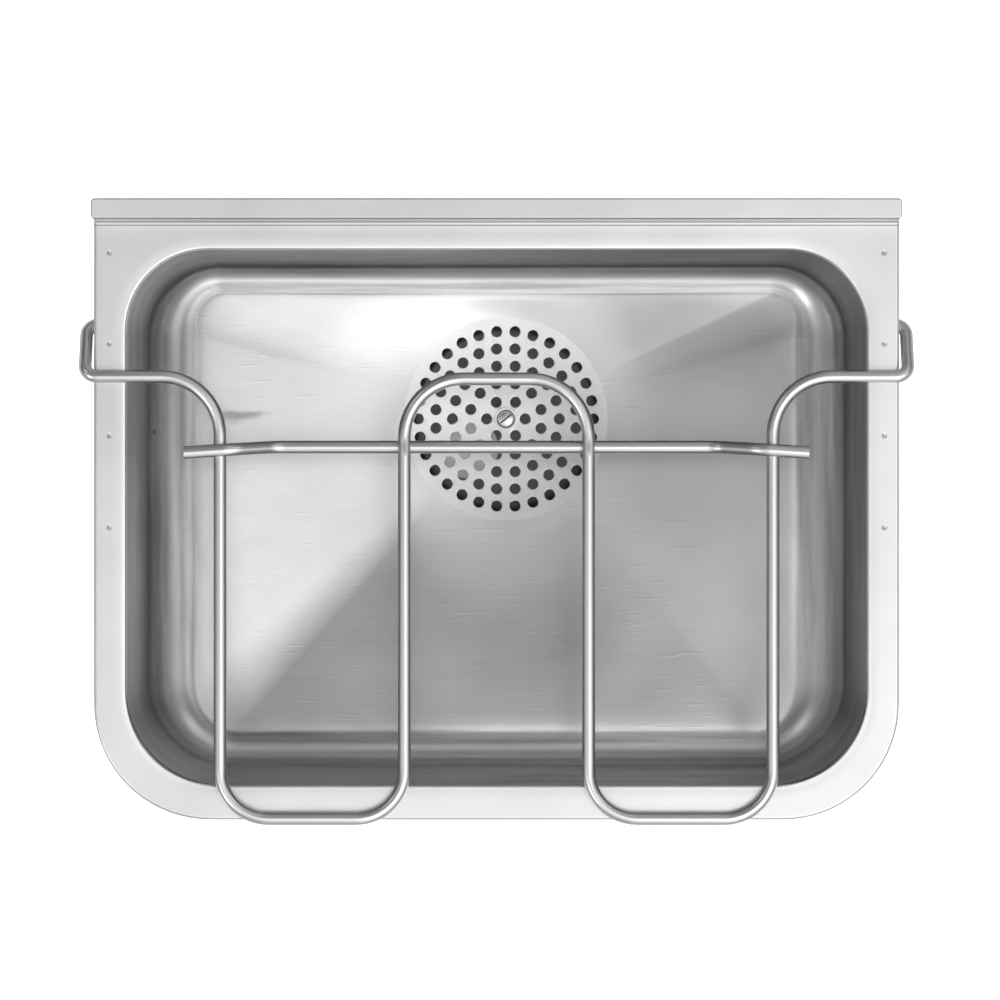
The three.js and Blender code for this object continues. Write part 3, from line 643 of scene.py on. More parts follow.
# %% Sizes and places of the holes
HOLE_RADIUS = 3.5 * MM
HOLE_RINGS = 5
FIRST_RING = 12.7 * MM
RING_PITCH = 11.25 * MM
HOLE_ROLL = 0.3 * MM
DISH_RINGS = 12
DISH_SIDES = 120
SCREW_HEAD = 4.85 * MM  # radius
DIMPLE_DEPTH = 2.2 * MM
DIMPLE_RADIUS = SCREW_HEAD + 1.5 * MM
SCREW_RADIUS = 3 * MM
PLAY = 0.3 * MM
OUTER_HOLES = FIRST_RING + (HOLE_RINGS - 1) * RING_PITCH + HOLE_RADIUS
NEARLY_LEVEL = 0.1 * MM


def hole_places():
    for level in range(1, HOLE_RINGS + 1):
        count = 6 * level
        radius = FIRST_RING + (level - 1) * RING_PITCH
        for k in range(count):
            angle = math.pi / 2 + 2 * math.pi * (k + 0.5) / count
            yield DRAIN.x + radius * math.cos(angle), DRAIN.y + radius * math.sin(angle)


# %% Punch the strainer disc
def cone(low_radius, high_radius, low, high, sides=48):
    """A cone over the drain, between two heights."""
    bpy.ops.mesh.primitive_cone_add(
        vertices=sides,
        radius1=low_radius,
        radius2=high_radius,
        depth=high - low,
        location=(DRAIN.x, DRAIN.y, (low + high) / 2),
    )
    return added("cone")


def punches():
    """All ninety punches as one solid: one is made and the others are copies of its mesh."""
    first = bar((0, 0, FLOOR), HOLE_RADIUS, CLEAR, sides=28, name="punch")
    copies = []
    for x, y in hole_places():
        copy = first.copy()
        copy.data = first.data.copy()
        bpy.context.collection.objects.link(copy)
        copy.location = (x, y, 0)
        copies.append(copy)
    bpy.data.objects.remove(first)
    joined(copies)
    bpy.ops.object.transform_apply(location=True, rotation=True, scale=True)
    return copies[0]


def sink_at(radius):
    """How far the dished disc lies below its edge, at a distance from its middle."""
    return DISH * (1 - (radius / DISC_RADIUS) ** 2)


def make_plate():
    """The disc before it is punched: a shallow dish, pulled in from its edge."""
    radii = [DISC_RADIUS * (DISH_RINGS - i) / DISH_RINGS for i in range(DISH_RINGS)]
    rows = [circle(DRAIN, radius, FLOOR - sink_at(radius), DISH_SIDES) for radius in reversed(radii)]
    plate = face_up(pulled("strainer", rows, filled=True), (DRAIN.x, DRAIN.y, FLOOR))
    return thickened(plate, even=False)


def is_hole_rim(edge):
    """Whether an edge is a sharp and level one on the upper side, within the outer holes."""
    if len(edge.link_faces) != 2 or edge.calc_face_angle() < math.radians(30):
        return False
    place = middle(edge)
    from_drain = math.hypot(place.x - DRAIN.x, place.y - DRAIN.y)
    level = abs(edge.verts[0].co.z - edge.verts[1].co.z) < NEARLY_LEVEL
    top = FLOOR - sink_at(from_drain)
    return level and from_drain < OUTER_HOLES + MM and place.z > top - SHEET / 2


def make_strainer():
    disc = make_plate()
    combine(disc, punches())
    wall = SCREW_HEAD + PLAY
    bottom = FLOOR - DIMPLE_DEPTH
    combine(disc, cone(wall + SHEET / 2, DIMPLE_RADIUS + SHEET, bottom - SHEET, FLOOR - LAP), "UNION")
    combine(disc, cone(wall, DIMPLE_RADIUS, bottom, FLOOR + HAIR))
    combine(disc, bar((DRAIN.x, DRAIN.y, FLOOR), SCREW_RADIUS + PLAY, CLEAR, sides=32))
    edit(disc, "EDGE")
    bevelled(disc, is_hole_rim, HOLE_ROLL, 3)
    done()
    disc.name = disc.data.name = "strainer_plate"
    return smooth(disc)


strainer = told(make_strainer())

# %% [markdown]
# ## The screw, cup and waste fittings
#
# Under the strainer hangs a pressed cup, drawn up by one slotted screw into a hexagonal post. They
# are round work, so their skins are pulled over circles. The outlet's thread is real: its rows
# follow the wave of the thread, shifted a little more at each place round the pipe.

# %% Turn the screw
screw_low, screw_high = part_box("drain_screw")
SLOT = 0.55 * MM  # half the width of the slot, and its depth
SLOT_TURN = math.radians(38)
CROWN = 0.5 * MM
CROWN_SHARES = (0.25, 0.5, 0.75, 0.92)  # of the head's radius
HEAD_HEIGHT = DIMPLE_DEPTH - PLAY - 0.1 * MM
HEAD_SIDE = 0.9 * MM  # how far below its crown the head's straight side starts
HEAD_EDGE = (0.15 * MM, 0.65 * MM)  # how far in and down the broken edge above it lies
TIP_CHAMFER = 0.5 * MM
SCREW_SIDES = 48


def make_screw():
    head_base = screw_high.z - HEAD_HEIGHT
    pairs = [(SCREW_HEAD * share, screw_high.z - CROWN * share**2) for share in CROWN_SHARES]
    pairs.append((SCREW_HEAD - HEAD_EDGE[0], screw_high.z - HEAD_EDGE[1]))
    pairs += [(SCREW_HEAD, screw_high.z - HEAD_SIDE), (SCREW_HEAD, head_base)]
    pairs += [(SCREW_RADIUS, head_base), (SCREW_RADIUS, screw_low.z + TIP_CHAMFER)]
    pairs.append((SCREW_RADIUS - TIP_CHAMFER, screw_low.z))
    rows = [circle(DRAIN, r, z, SCREW_SIDES) for r, z in pairs]
    screw = pulled("slotted_screw", rows, filled=True)
    edit(screw, "EDGE")
    pick(screw, "EDGE", lambda e: len(e.link_faces) == 1)
    bpy.ops.mesh.edge_face_add()
    done()
    outward(screw)
    slot = bar((0, 0, 0), SLOT, 2 * CLEAR, "X", sides=4)
    slot.data.transform(Matrix.Rotation(SLOT_TURN, 4, "Z"))
    slot.data.transform(Matrix.Translation((DRAIN.x, DRAIN.y, screw_high.z)))
    return smooth(combine(screw, slot))


screw = told(make_screw())

# %% Press the cup, gasket and post
cup_low, cup_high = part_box("drain_cup")
gasket_low, gasket_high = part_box("drain_gasket")
post_low, post_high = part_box("drain_post")
pipe_low, pipe_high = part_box("outlet_pipe")
seal_low, seal_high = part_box("outlet_seal")
nut_low, nut_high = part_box("outlet_nut")
OUTLET = (pipe_low + pipe_high) / 2
CUP_WALL = 1.5 * MM
CUP_FLANGE = 8 * MM
CUP_BEND = 6.5 * MM
CUP_LIP = 1.5 * MM
POST_BORE = 22 * MM
POST_EDGE = 0.4 * MM
SEAL_ROLL = 1 * MM
OUTLET_WALL = 3.7 * MM
ROUND_SIDES = 96
cup_inside = (cup_high.x - cup_low.x) / 2 - CUP_FLANGE
outlet_radius = (pipe_high.x - pipe_low.x) / 2
outlet_bore = outlet_radius - OUTLET_WALL


def make_cup():
    floor = cup_low.z + CUP_WALL
    corner = (cup_inside - CUP_BEND, floor + CUP_BEND)
    shoulder = (cup_inside + CUP_LIP, cup_high.z - CUP_LIP)
    pairs = bend(corner, CUP_BEND, 270, 360, 7) + bend(shoulder, CUP_LIP, 180, 90, 5)
    pairs.append((cup_inside + CUP_FLANGE, cup_high.z))
    rows = [circle(DRAIN, r, z, ROUND_SIDES) for r, z in pairs]
    cup = face_up(pulled("waste_cup", rows, filled=True), (DRAIN.x, DRAIN.y, floor))
    thickened(cup, CUP_WALL)
    combine(cup, bar((OUTLET.x, OUTLET.y, floor), outlet_bore, CLEAR, sides=64))
    return smooth(cup)


def make_ring(name, centre, inner, outer, low, high):
    """A flat ring of rubber with rounded outer edges."""
    pairs = [(inner, high), (inner, low)]
    pairs += bend((outer - SEAL_ROLL, low + SEAL_ROLL), SEAL_ROLL, 270, 360, 4)
    pairs += bend((outer - SEAL_ROLL, high - SEAL_ROLL), SEAL_ROLL, 0, 90, 4)
    ring = pulled(name, [circle(centre, r, z, ROUND_SIDES) for r, z in pairs], closed=True)
    return smooth(outward(ring))


def make_post():
    height = post_high.z - post_low.z
    across = (post_high.x - post_low.x) / 2
    post = bar((DRAIN.x, DRAIN.y, (post_low.z + post_high.z) / 2), across, height, sides=6)
    edit(post, "EDGE")
    bevelled(post, lambda e: True, POST_EDGE, 2)
    done()
    combine(post, bar((DRAIN.x, DRAIN.y, post_high.z), SCREW_RADIUS + PLAY, 2 * POST_BORE, sides=32))
    post.name = post.data.name = "screw_post"
    return smooth(post)


cup = told(make_cup())
gasket_outer = (gasket_high.x - gasket_low.x) / 2
gasket = make_ring(
    "cup_gasket", DRAIN, cup_inside + PLAY, gasket_outer, gasket_low.z, gasket_high.z
)
seal = make_ring("pipe_seal", OUTLET, outlet_bore, outlet_radius, seal_low.z, seal_high.z)
post = told(make_post())

# %% Cut the outlet's thread and the nut
THREAD_PITCH = 2.31 * MM
THREAD_DEPTH = 1.1 * MM
THREAD_RUNOUT = 3 * MM
ROWS_PER_TURN = 8
PIPE_SIDES = 72
NUT_CHAMFER = 2 * MM
NUT_LIP = 2.5 * MM


def thread_row(height):
    """One row of the thread: its crest climbs one pitch in a turn and fades out at both ends."""
    from_end = min(pipe_high.z - height, height - pipe_low.z)
    deepest = THREAD_DEPTH * max(0.0, min(1.0, from_end / THREAD_RUNOUT))

    def radius(angle):
        wave = (height / THREAD_PITCH - angle / (2 * math.pi)) % 1
        return outlet_radius - deepest * abs(2 * wave - 1)

    return circle(OUTLET, radius, height, PIPE_SIDES)


def make_pipe():
    count = int((pipe_high.z - pipe_low.z) / THREAD_PITCH * ROWS_PER_TURN)
    heights = [pipe_low.z + (pipe_high.z - pipe_low.z) * i / count for i in range(1, count)]
    foot = outlet_radius - THREAD_DEPTH
    ends = ((outlet_bore, pipe_high.z), (outlet_bore, pipe_low.z), (foot, pipe_low.z))
    rows = [circle(OUTLET, radius, height, PIPE_SIDES) for radius, height in ends]
    rows += [thread_row(height) for height in heights]
    rows.append(circle(OUTLET, outlet_radius, pipe_high.z, PIPE_SIDES))
    return smooth(outward(pulled("threaded_outlet", rows, closed=True)), degrees=50)


def hexagon(corner, cut):
    """The radius of a hexagon at each angle, with its corners turned down by a cut."""
    across = corner * math.cos(math.pi / 6)
    return lambda angle: min(across / math.cos(angle % (math.pi / 3) - math.pi / 6), corner - cut)


def make_nut():
    wide, narrow = outlet_radius + PLAY, outlet_bore + PLAY
    low, high = nut_low.z, nut_high.z
    full, turned = [hexagon((nut_high.x - nut_low.x) / 2, cut) for cut in (0, NUT_CHAMFER)]
    pairs = [(wide, high), (wide, low + NUT_LIP), (narrow, low + NUT_LIP), (narrow, low)]
    pairs += [(turned, low), (full, low + NUT_CHAMFER), (full, high - NUT_CHAMFER), (turned, high)]
    rows = [circle(OUTLET, radius, height, ROUND_SIDES) for radius, height in pairs]
    return smooth(outward(pulled("coupling_nut", rows, closed=True)), degrees=25)


pipe = told(make_pipe())
nut = told(make_nut())

# %% [markdown]
# ## The brackets
#
# Under each side rim stands a folded console that carries the sink on two wall screws. It starts
# as a box of which only three sides are kept, as a folder would leave them: the web, the flange
# under the rim and the plate on the wall. The folds are bevelled, the sheet gets its thickness,
# and then the slanting lower edge, the corner relief, the keyholes and the pivot hole are cut.

# %% Fold a bracket
bracket_low, bracket_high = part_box("bracket_right")
BRACKET_SHEET = 2 * MM
BRACKET_BEND = 3 * MM
BRACKET_NOSE = 28 * MM
BRACKET_FOOT = 34 * MM
BRACKET_FLANGE = 15 * MM
FLANGE_BACK = -2.9 * MM
PLATE_TOP = -8.3 * MM
KEYHOLE_X = 16 * MM + BRACKET_SHEET  # from the web
KEYHOLES = (-35 * MM, -125 * MM)  # heights
KEYHOLE_HEAD = 8 * MM
KEYHOLE_SLOT = 4.5 * MM
KEYHOLE_RISE = 13 * MM


def make_bracket(side, name):
    low, high = bracket_low, bracket_high
    piece = block(low, high, name)
    edit(piece)
    pick(piece, "FACE", lambda f: f.normal.x < -0.5 or f.normal.z < -0.5 or f.normal.y < -0.5)
    bpy.ops.mesh.delete(type="FACE")
    bpy.ops.mesh.select_mode(type="EDGE")
    bevelled(piece, lambda e: len(e.link_faces) == 2 and middle(e).x > high.x - MM, BRACKET_BEND, 6)
    bpy.ops.mesh.select_all(action="SELECT")
    along = Vector((0, -BRACKET_FOOT - low.y, low.z - high.z + BRACKET_NOSE))
    below = along.cross(Vector((1, 0, 0)))
    bpy.ops.mesh.bisect(
        plane_co=(0, low.y, high.z - BRACKET_NOSE), plane_no=below, clear_outer=True
    )
    done()
    thickened(piece, BRACKET_SHEET)
    wide = 2 * BRACKET_NOSE
    combine(piece, block((low.x - CLEAR, FLANGE_BACK, PLATE_TOP), (high.x + CLEAR, CLEAR, CLEAR)))
    inner = (low.x - CLEAR, low.y - CLEAR, high.z - BRACKET_BEND)
    combine(piece, block(inner, (high.x - BRACKET_FLANGE, FLANGE_BACK + MM, CLEAR)))
    for height in KEYHOLES:
        x = high.x - KEYHOLE_X
        combine(piece, bar((x, 0, height), KEYHOLE_HEAD, wide, "Y", 48))
        combine(piece, bar((x, 0, height + KEYHOLE_RISE), KEYHOLE_SLOT, wide, "Y", 32))
        narrow = (x - KEYHOLE_SLOT, -CLEAR, height)
        combine(piece, block(narrow, (x + KEYHOLE_SLOT, CLEAR, height + KEYHOLE_RISE)))
    combine(piece, pivot_bar())
    if side < 0:
        piece.data.transform(Matrix.Scale(-1, 4, (1, 0, 0)))
        outward(piece)
    return smooth(piece)


bracket_right = told(make_bracket(1, "console_right"))
bracket_left = told(make_bracket(-1, "console_left"))

# %% [markdown]
# ## The bucket grid
#
# The grid is one long rod, bent cold on a bending jig. A curve with a round bevel would do, but
# bending is the real process and gives true arcs: the end face of a round disc is pushed straight
# to where the bend starts, spun round the bend's centre, pushed on, and so along the whole rod.

# %% Bend a rod
ROD = 4 * MM  # radius
ROD_SIDES = 32
STEPS_PER_BEND = 14  # for a quarter turn


def bent_rod(name, points):
    """A rod along (place, bend radius) points, with a disc at each end."""
    places = [Vector(place) for place, _ in points]
    start = places[0]
    direction = (places[1] - start).normalized()
    bpy.ops.mesh.primitive_circle_add(
        vertices=ROD_SIDES,
        radius=ROD,
        fill_type="NGON",
        location=start,
        rotation=direction.to_track_quat("Z", "Y").to_euler(),
    )
    piece = added(name)
    edit(piece)
    bpy.ops.mesh.select_all(action="SELECT")
    here = start
    for i in range(1, len(places) - 1):
        into = (places[i] - places[i - 1]).normalized()
        away = (places[i + 1] - places[i]).normalized()
        turn = into.angle(away)
        radius = points[i][1]
        reach = radius * math.tan(turn / 2)
        start_of_bend = places[i] - into * reach
        bpy.ops.mesh.extrude_region_move(
            TRANSFORM_OT_translate={"value": start_of_bend - here}
        )
        axis = into.cross(away).normalized()
        centre = start_of_bend + axis.cross(into) * radius
        steps = max(2, round(STEPS_PER_BEND * turn / (math.pi / 2)))
        bpy.ops.mesh.spin(steps=steps, angle=-turn, center=centre, axis=axis)
        here = places[i] + away * reach
    bpy.ops.mesh.extrude_region_move(TRANSFORM_OT_translate={"value": places[-1] - here})
    done()
    return outward(piece)


# %% Sizes of the grid
grid_low, grid_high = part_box("grid_rod")
cross_low, cross_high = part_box("grid_cross_rod")
LEVEL = grid_high.z - ROD
HOOK_X = grid_high.x - ROD
HOOK_END = HALF - 12 * MM
HOOK_BEND = 8 * MM
SIDE_RUN = -109.5 * MM
CENTRE_RUN = -110.9 * MM
FRONT_RUN = grid_low.y + ROD
OUTER_LEG = OPENING_HALF - 58.7 * MM
INNER_LEG = OUTER_LEG / 3
BACK_BEND = 36.5 * MM
FRONT_BEND = 30 * MM
WELD_CROSSING = -153.1 * MM
PRESS_DEPTH = 0.5 * MM
PRESS_WIDTH = 2.6 * MM
PRESS_LENGTH = 10.5 * MM


def grid_half(side):
    """Half of the rod's points, from its hooked end to its middle leg."""
    return [
        ((side * HOOK_END, -PIVOT_FROM_WALL, -PIVOT_DROP), 0),
        ((side * HOOK_X, -PIVOT_FROM_WALL, -PIVOT_DROP), HOOK_BEND),
        ((side * HOOK_X, SIDE_RUN, LEVEL), HOOK_BEND),
        ((side * OUTER_LEG, SIDE_RUN, LEVEL), BACK_BEND),
        ((side * OUTER_LEG, FRONT_RUN, LEVEL), FRONT_BEND),
        ((side * INNER_LEG, FRONT_RUN, LEVEL), FRONT_BEND),
        ((side * INNER_LEG, CENTRE_RUN, LEVEL), BACK_BEND),
    ]


# %% [markdown]
# The two middle legs are resistance-welded to the cross rod. The electrodes leave a short flat on
# top of each leg, which the photograph shows as two small bright rectangles.

# %% Bend the grid rod
END_EDGE = 0.4 * MM
NEAR_END = 1.1 * ROD


def soften_ends(piece, ends, width=END_EDGE):
    """Breaks the sharp edge round each cut end of a rod."""

    def at_an_end(edge):
        from_end = min((middle(edge) - Vector(end)).length for end in ends)
        sharp = len(edge.link_faces) == 2 and edge.calc_face_angle() > math.radians(60)
        return sharp and from_end < NEAR_END

    edit(piece, "EDGE")
    bevelled(piece, at_an_end, width, 3)
    done()


def make_grid_rod():
    points = grid_half(-1) + grid_half(1)[::-1]
    rod = bent_rod("bucket_grid", points)
    soften_ends(rod, (points[0][0], points[-1][0]))
    reach = Vector((PRESS_WIDTH / 2, PRESS_LENGTH / 2, PRESS_DEPTH))
    for side in (-1, 1):
        place = Vector((side * INNER_LEG, WELD_CROSSING, grid_high.z))
        combine(rod, block(place - reach, place + reach))
    return smooth(rod)


grid = told(make_grid_rod())

# %% Bend the cross rod
CROSS_LOW = cross_low.z + ROD
CROSS_HIGH = cross_high.z - ROD
CROSS_END = OUTER_LEG + 22 * MM
JOGGLE_OUT = OUTER_LEG - 8 * MM
JOGGLE_IN = JOGGLE_OUT - 26 * MM
JOGGLE_BEND = 20 * MM
CROSS_SWEEP = math.tan(math.radians(3.75))
CROSS_END_EDGE = 0.25 * MM


def cross_half(side):
    """Half of the rod's points. Past the joggle it sweeps a little to the front."""

    def at(x, height):
        return (side * x, WELD_CROSSING - CROSS_SWEEP * max(0.0, x - JOGGLE_IN), height)

    return [
        (at(CROSS_END, CROSS_HIGH), 0),
        (at(JOGGLE_OUT, CROSS_HIGH), JOGGLE_BEND),
        (at(JOGGLE_IN, CROSS_LOW), JOGGLE_BEND),
    ]


def make_cross_rod():
    points = cross_half(-1) + cross_half(1)[::-1]
    rod = bent_rod("cross_rod", points)
    soften_ends(rod, (points[0][0], points[-1][0]), CROSS_END_EDGE)
    return smooth(rod)


cross = told(make_cross_rod())

# %% [markdown]
# ## Steel that isn't flat
#
# All visible metal is the same stainless steel with different handling. Brushing, drawing and use
# leave three marks on it: fine short lines, cloudy patches where the sheet was worked, and a few
# longer scratches. Each is a node group that gives only a mask, so that every finish can mix them
# in its own strength.

# %% Helpers that add nodes
def node(tree, kind, inputs=None, **settings):
    """Adds a node, sets its properties, and feeds its inputs with values or other sockets."""
    made = tree.nodes.new(kind if kind.startswith("NodeGroup") else "ShaderNode" + kind)
    for name, value in settings.items():
        setattr(made, name, value)
    for name, value in (inputs or {}).items():
        if isinstance(value, bpy.types.NodeSocket):
            tree.links.new(value, made.inputs[name])
        else:
            made.inputs[name].default_value = value
    return made


def reckon(tree, operation, a, b=0.0, c=0.0):
    """One step of arithmetic between sockets or values."""
    return node(tree, "Math", {0: a, 1: b, 2: c}, operation=operation).outputs[0]


def with_places(tree, operation, a, b=(0, 0, 0)):
    """One step of arithmetic with places, which puts out a Vector or a Value."""
    return node(tree, "VectorMath", {0: a, 1: b}, operation=operation).outputs


def spread(tree, value, start, end, low=0.0, high=1.0, kind="LINEAR"):
    """Goes from `low` to `high` while a value goes from `start` to `end`, and no further."""
    ends = {"Value": value, "From Min": start, "From Max": end, "To Min": low, "To Max": high}
    return node(tree, "MapRange", ends, interpolation_type=kind).outputs[0]


def soft_step(tree, value, start, end):
    """0 up to `start`, 1 from `end`, and smooth in between."""
    return spread(tree, value, start, end, kind="SMOOTHSTEP")


def blended(tree, mask, first, second):
    """A colour between two colours."""
    return node(tree, "Mix", {0: mask, 6: first, 7: second}, data_type="RGBA").outputs[2]


def bumped(tree, height, strength, depth, below=None):
    """The normal of a surface that rises with a mask, over a bump that it already has."""
    inputs = {"Height": height, "Strength": strength, "Distance": depth}
    if below:
        inputs["Normal"] = below
    return node(tree, "Bump", inputs).outputs[0]


# %% Three marks, each as a node group
def noise_mark(name, fineness, squeeze=None, peaks=None, **noise):
    """A mask of noise. `squeeze` pulls it out into lines along the pattern's own X, and `peaks`
    keeps only its highest spots."""
    group = bpy.data.node_groups.new(name, "ShaderNodeTree")
    for socket, way in (("Vector", "INPUT"), ("Fineness", "INPUT"), ("Mask", "OUTPUT")):
        kind = "NodeSocketVector" if socket == "Vector" else "NodeSocketFloat"
        made = group.interface.new_socket(name=socket, in_out=way, socket_type=kind)
        if socket == "Fineness":
            made.default_value = fineness
    given = node(group, "NodeGroupInput").outputs
    vector = given["Vector"]
    if squeeze:
        vector = node(group, "Mapping", {"Vector": vector, "Scale": (squeeze, 1, 1)}).outputs[0]
    inputs = {"Vector": vector, "Scale": given["Fineness"], **noise}
    mask = node(group, "TexNoise", inputs).outputs[0]
    if peaks:
        mask = soft_step(group, mask, *peaks)
    node(group, "NodeGroupOutput", {"Mask": mask})
    return group


brushed_lines = noise_mark("brushed_lines", 900.0, squeeze=0.03, Detail=3.0, Roughness=0.6)
cloudy_patches = noise_mark("cloudy_patches", 10.0, Detail=2.0, Roughness=0.4)
stray_scratches = noise_mark(
    "stray_scratches", 420.0, squeeze=0.12, peaks=(0.66, 0.74), Detail=1.0
)


def mark(tree, group, place, **values):
    """The mask of one of the marks, at a place."""
    return node(tree, "Group", {"Vector": place, **values}, node_tree=group).outputs[0]


# %% [markdown]
# Some pieces aren't handled alike all over. The bowl's walls stay rougher and streaked where the
# drawing die dragged over them, and the radius below them fades into the polished floor. Light and
# shade are painted into the grey of the walls and the radius as well. Round the strainer the floor
# has painted light, a patch on it painted shade, and use has left a smudge and a speck. Each zone is
# a small function that changes the colour and the roughness by masks of its own, and two attributes
# of the bowl's mesh tell it where the walls are.

# %% Tones of the bowl, painted light and shade among them
# (dullness_and_shade, tone) stops, which paint light and shade: lighter on the upper radius, darker
# on the lower radius and on the wall, and not alike on the left and the right. The value is 0 on the
# floor and 1 on the wall, with the radius between
LEFT_LIGHT_AND_SHADE = (
    (0.06, 0.42), (0.2, 0.29), (0.42, 0.3), (0.66, 0.74), (0.93, 0.88), (0.985, 0.7), (1, 0.52)
)
RIGHT_LIGHT_AND_SHADE = (
    (0.06, 0.52), (0.2, 0.46), (0.42, 0.44), (0.66, 0.74), (0.93, 1), (0.985, 0.8), (1, 0.44)
)
# (share of the way from front to back, change of tone) stops, for the wall and for its top: painted
# light towards the front, and towards the back painted light on the wall and painted shade on its top
EVEN = 0.5  # the change that leaves a tone as it is
WALL_LIGHT_AND_SHADE_FROM_FRONT = (
    (0, 1), (0.02, 0.96), (0.12, 0.6), (0.5, EVEN), (0.91, EVEN), (0.955, 0.7), (0.97, 1), (0.982, 0.9)
)
TOP_LIGHT_AND_SHADE_FROM_FRONT = (
    (0, 1), (0.02, 0.96), (0.12, 0.6), (0.5, EVEN), (0.84, EVEN), (0.95, 0.36), (1, 0.26)
)
LEFT_TO_RIGHT = 0.6 * OPENING_HALF  # where the left's tones end and the right's are reached
WALL_SHADE_FROM = (0.0, 0.16)  # the dullness_and_shade over which the floor's tone gives way to the wall's painted light and shade
TOP_FROM = (0.84, 0.97)  # the dullness_and_shade over which the top's painted change takes over
ROUGH_FROM = (0.1, 0.55)  # the dullness over which the metal gets rougher
WALL_ROUGHER = 0.14
STREAK_DEPTH = 1.1
STREAKS_OVER = 6.0  # streaks over the radius, and in a metre down and along the wall
STREAKS_DOWN = 25.0
STREAKS_ALONG = 10.0
# painted light: a lighter zone of the floor round the strainer, centred a little left of it
PAINTED_LIGHT_CENTRE = (DRAIN.x - 18 * MM, DRAIN.y, FLOOR)
PAINTED_LIGHT_START = 72 * MM
PAINTED_LIGHT_END = 125 * MM
PAINTED_LIGHT_TONE = 0.65

# %% What use has left in the bowl, and a patch of painted shade
BLUER = 1.006
STAIN_AND_SHADE_TONE = 0.1
STAIN_AND_SHADE_CORE = 0.1  # share of its reach inside which a dark spot has its full strength
STAIN_AND_SHADE_NOISE = 1.3  # waves of noise over its reach
StainAndShade = namedtuple("StainAndShade", "centre reach strength ragged", defaults=(0.0,))

# painted shade: a darker patch on the floor's back-right facet
SHADED_PATCH = StainAndShade((138 * MM, -72 * MM, FLOOR), (92 * MM, 60 * MM, 60 * MM), 0.34, 0.4)
SMUDGE = StainAndShade((-169 * MM, -130.5 * MM, FLOOR + 4 * MM), (24 * MM, 7 * MM, 9 * MM), 0.6, 1.6)
SPECK = StainAndShade((-224.2 * MM, -141.5 * MM, FLOOR + 25 * MM), (2.6 * MM, 2.6 * MM, 4 * MM), 0.7)


def grey(tone):
    """A grey with the slight blue of stainless steel."""
    return (tone, tone, BLUER * tone, 1)


def stained_and_shaded(tree, place, colour, dark_spot):
    """A colour darkened in a soft spot that reaches so far along X, Y and Z, for real stains and for
    painted shade alike. A ragged one has its outline pushed in and out by noise."""
    offset = with_places(tree, "SUBTRACT", place, dark_spot.centre)["Vector"]
    scaled = with_places(tree, "DIVIDE", offset, dark_spot.reach)["Vector"]
    far = with_places(tree, "LENGTH", scaled)["Value"]
    noise = node(tree, "TexNoise", {"Vector": scaled, "Scale": STAIN_AND_SHADE_NOISE, "Detail": 4.0})
    pushed = reckon(tree, "MULTIPLY_ADD", noise.outputs[0], dark_spot.ragged, -dark_spot.ragged / 2)
    edge = soft_step(tree, reckon(tree, "ADD", far, pushed), 1.0, STAIN_AND_SHADE_CORE)
    return blended(tree, reckon(tree, "MULTIPLY", edge, dark_spot.strength), colour, grey(STAIN_AND_SHADE_TONE))


# %% Zones of the bowl
def ramp_of(tree, value, stops):
    """A tone that follows a value from 0 to 1 through (value, tone) stops."""
    ramp = node(tree, "ValToRGB", {"Fac": value})
    elements = ramp.color_ramp.elements
    for i, (position, tone) in enumerate(stops):
        stop = elements[i] if i < 2 else elements.new(position)
        stop.position = position
        stop.color = grey(tone)
    return ramp.outputs[0]


def wall_streaks(tree, x, y, z, dullness_and_shade):
    """Long soft streaks that run along the walls, as the die left them, around 1."""
    along = reckon(tree, "MULTIPLY", reckon(tree, "ADD", x, y), STREAKS_ALONG)
    down = reckon(tree, "MULTIPLY", z, STREAKS_DOWN)
    over = reckon(tree, "MULTIPLY", dullness_and_shade, STREAKS_OVER)
    vector = node(tree, "CombineXYZ", {0: over, 1: down, 2: along}).outputs[0]
    noise = node(tree, "TexNoise", {"Vector": vector, "Scale": 1.0, "Detail": 3.0}).outputs[0]
    return reckon(tree, "MULTIPLY_ADD", noise, STREAK_DEPTH, 1 - STREAK_DEPTH / 2)


def wall_tone(tree, place, dullness_and_shade):
    """The grey of the walls by height, from left to right and from front to back, in painted light
    and shade.
    """
    x, y, z = node(tree, "SeparateXYZ", {0: place}).outputs
    sides = [ramp_of(tree, dullness_and_shade, stops) for stops in (LEFT_LIGHT_AND_SHADE, RIGHT_LIGHT_AND_SHADE)]
    side = blended(tree, soft_step(tree, x, -LEFT_TO_RIGHT, LEFT_TO_RIGHT), *sides)
    tone = reckon(tree, "MULTIPLY", side, wall_streaks(tree, x, y, z, dullness_and_shade))
    back = spread(tree, y, OPENING_FRONT, OPENING_BACK)
    levels = [ramp_of(tree, back, stops) for stops in (WALL_LIGHT_AND_SHADE_FROM_FRONT, TOP_LIGHT_AND_SHADE_FROM_FRONT)]
    change = blended(tree, soft_step(tree, dullness_and_shade, *TOP_FROM), *levels)
    return reckon(tree, "MULTIPLY", tone, reckon(tree, "MULTIPLY", change, 1 / EVEN))


def painted_light_round_strainer(tree, place, colour):
    """Painted light round the strainer, strongest a little left of it."""
    far = with_places(tree, "DISTANCE", place, PAINTED_LIGHT_CENTRE)["Value"]
    mask = soft_step(tree, far, PAINTED_LIGHT_END, PAINTED_LIGHT_START)
    return blended(tree, mask, colour, grey(PAINTED_LIGHT_TONE))


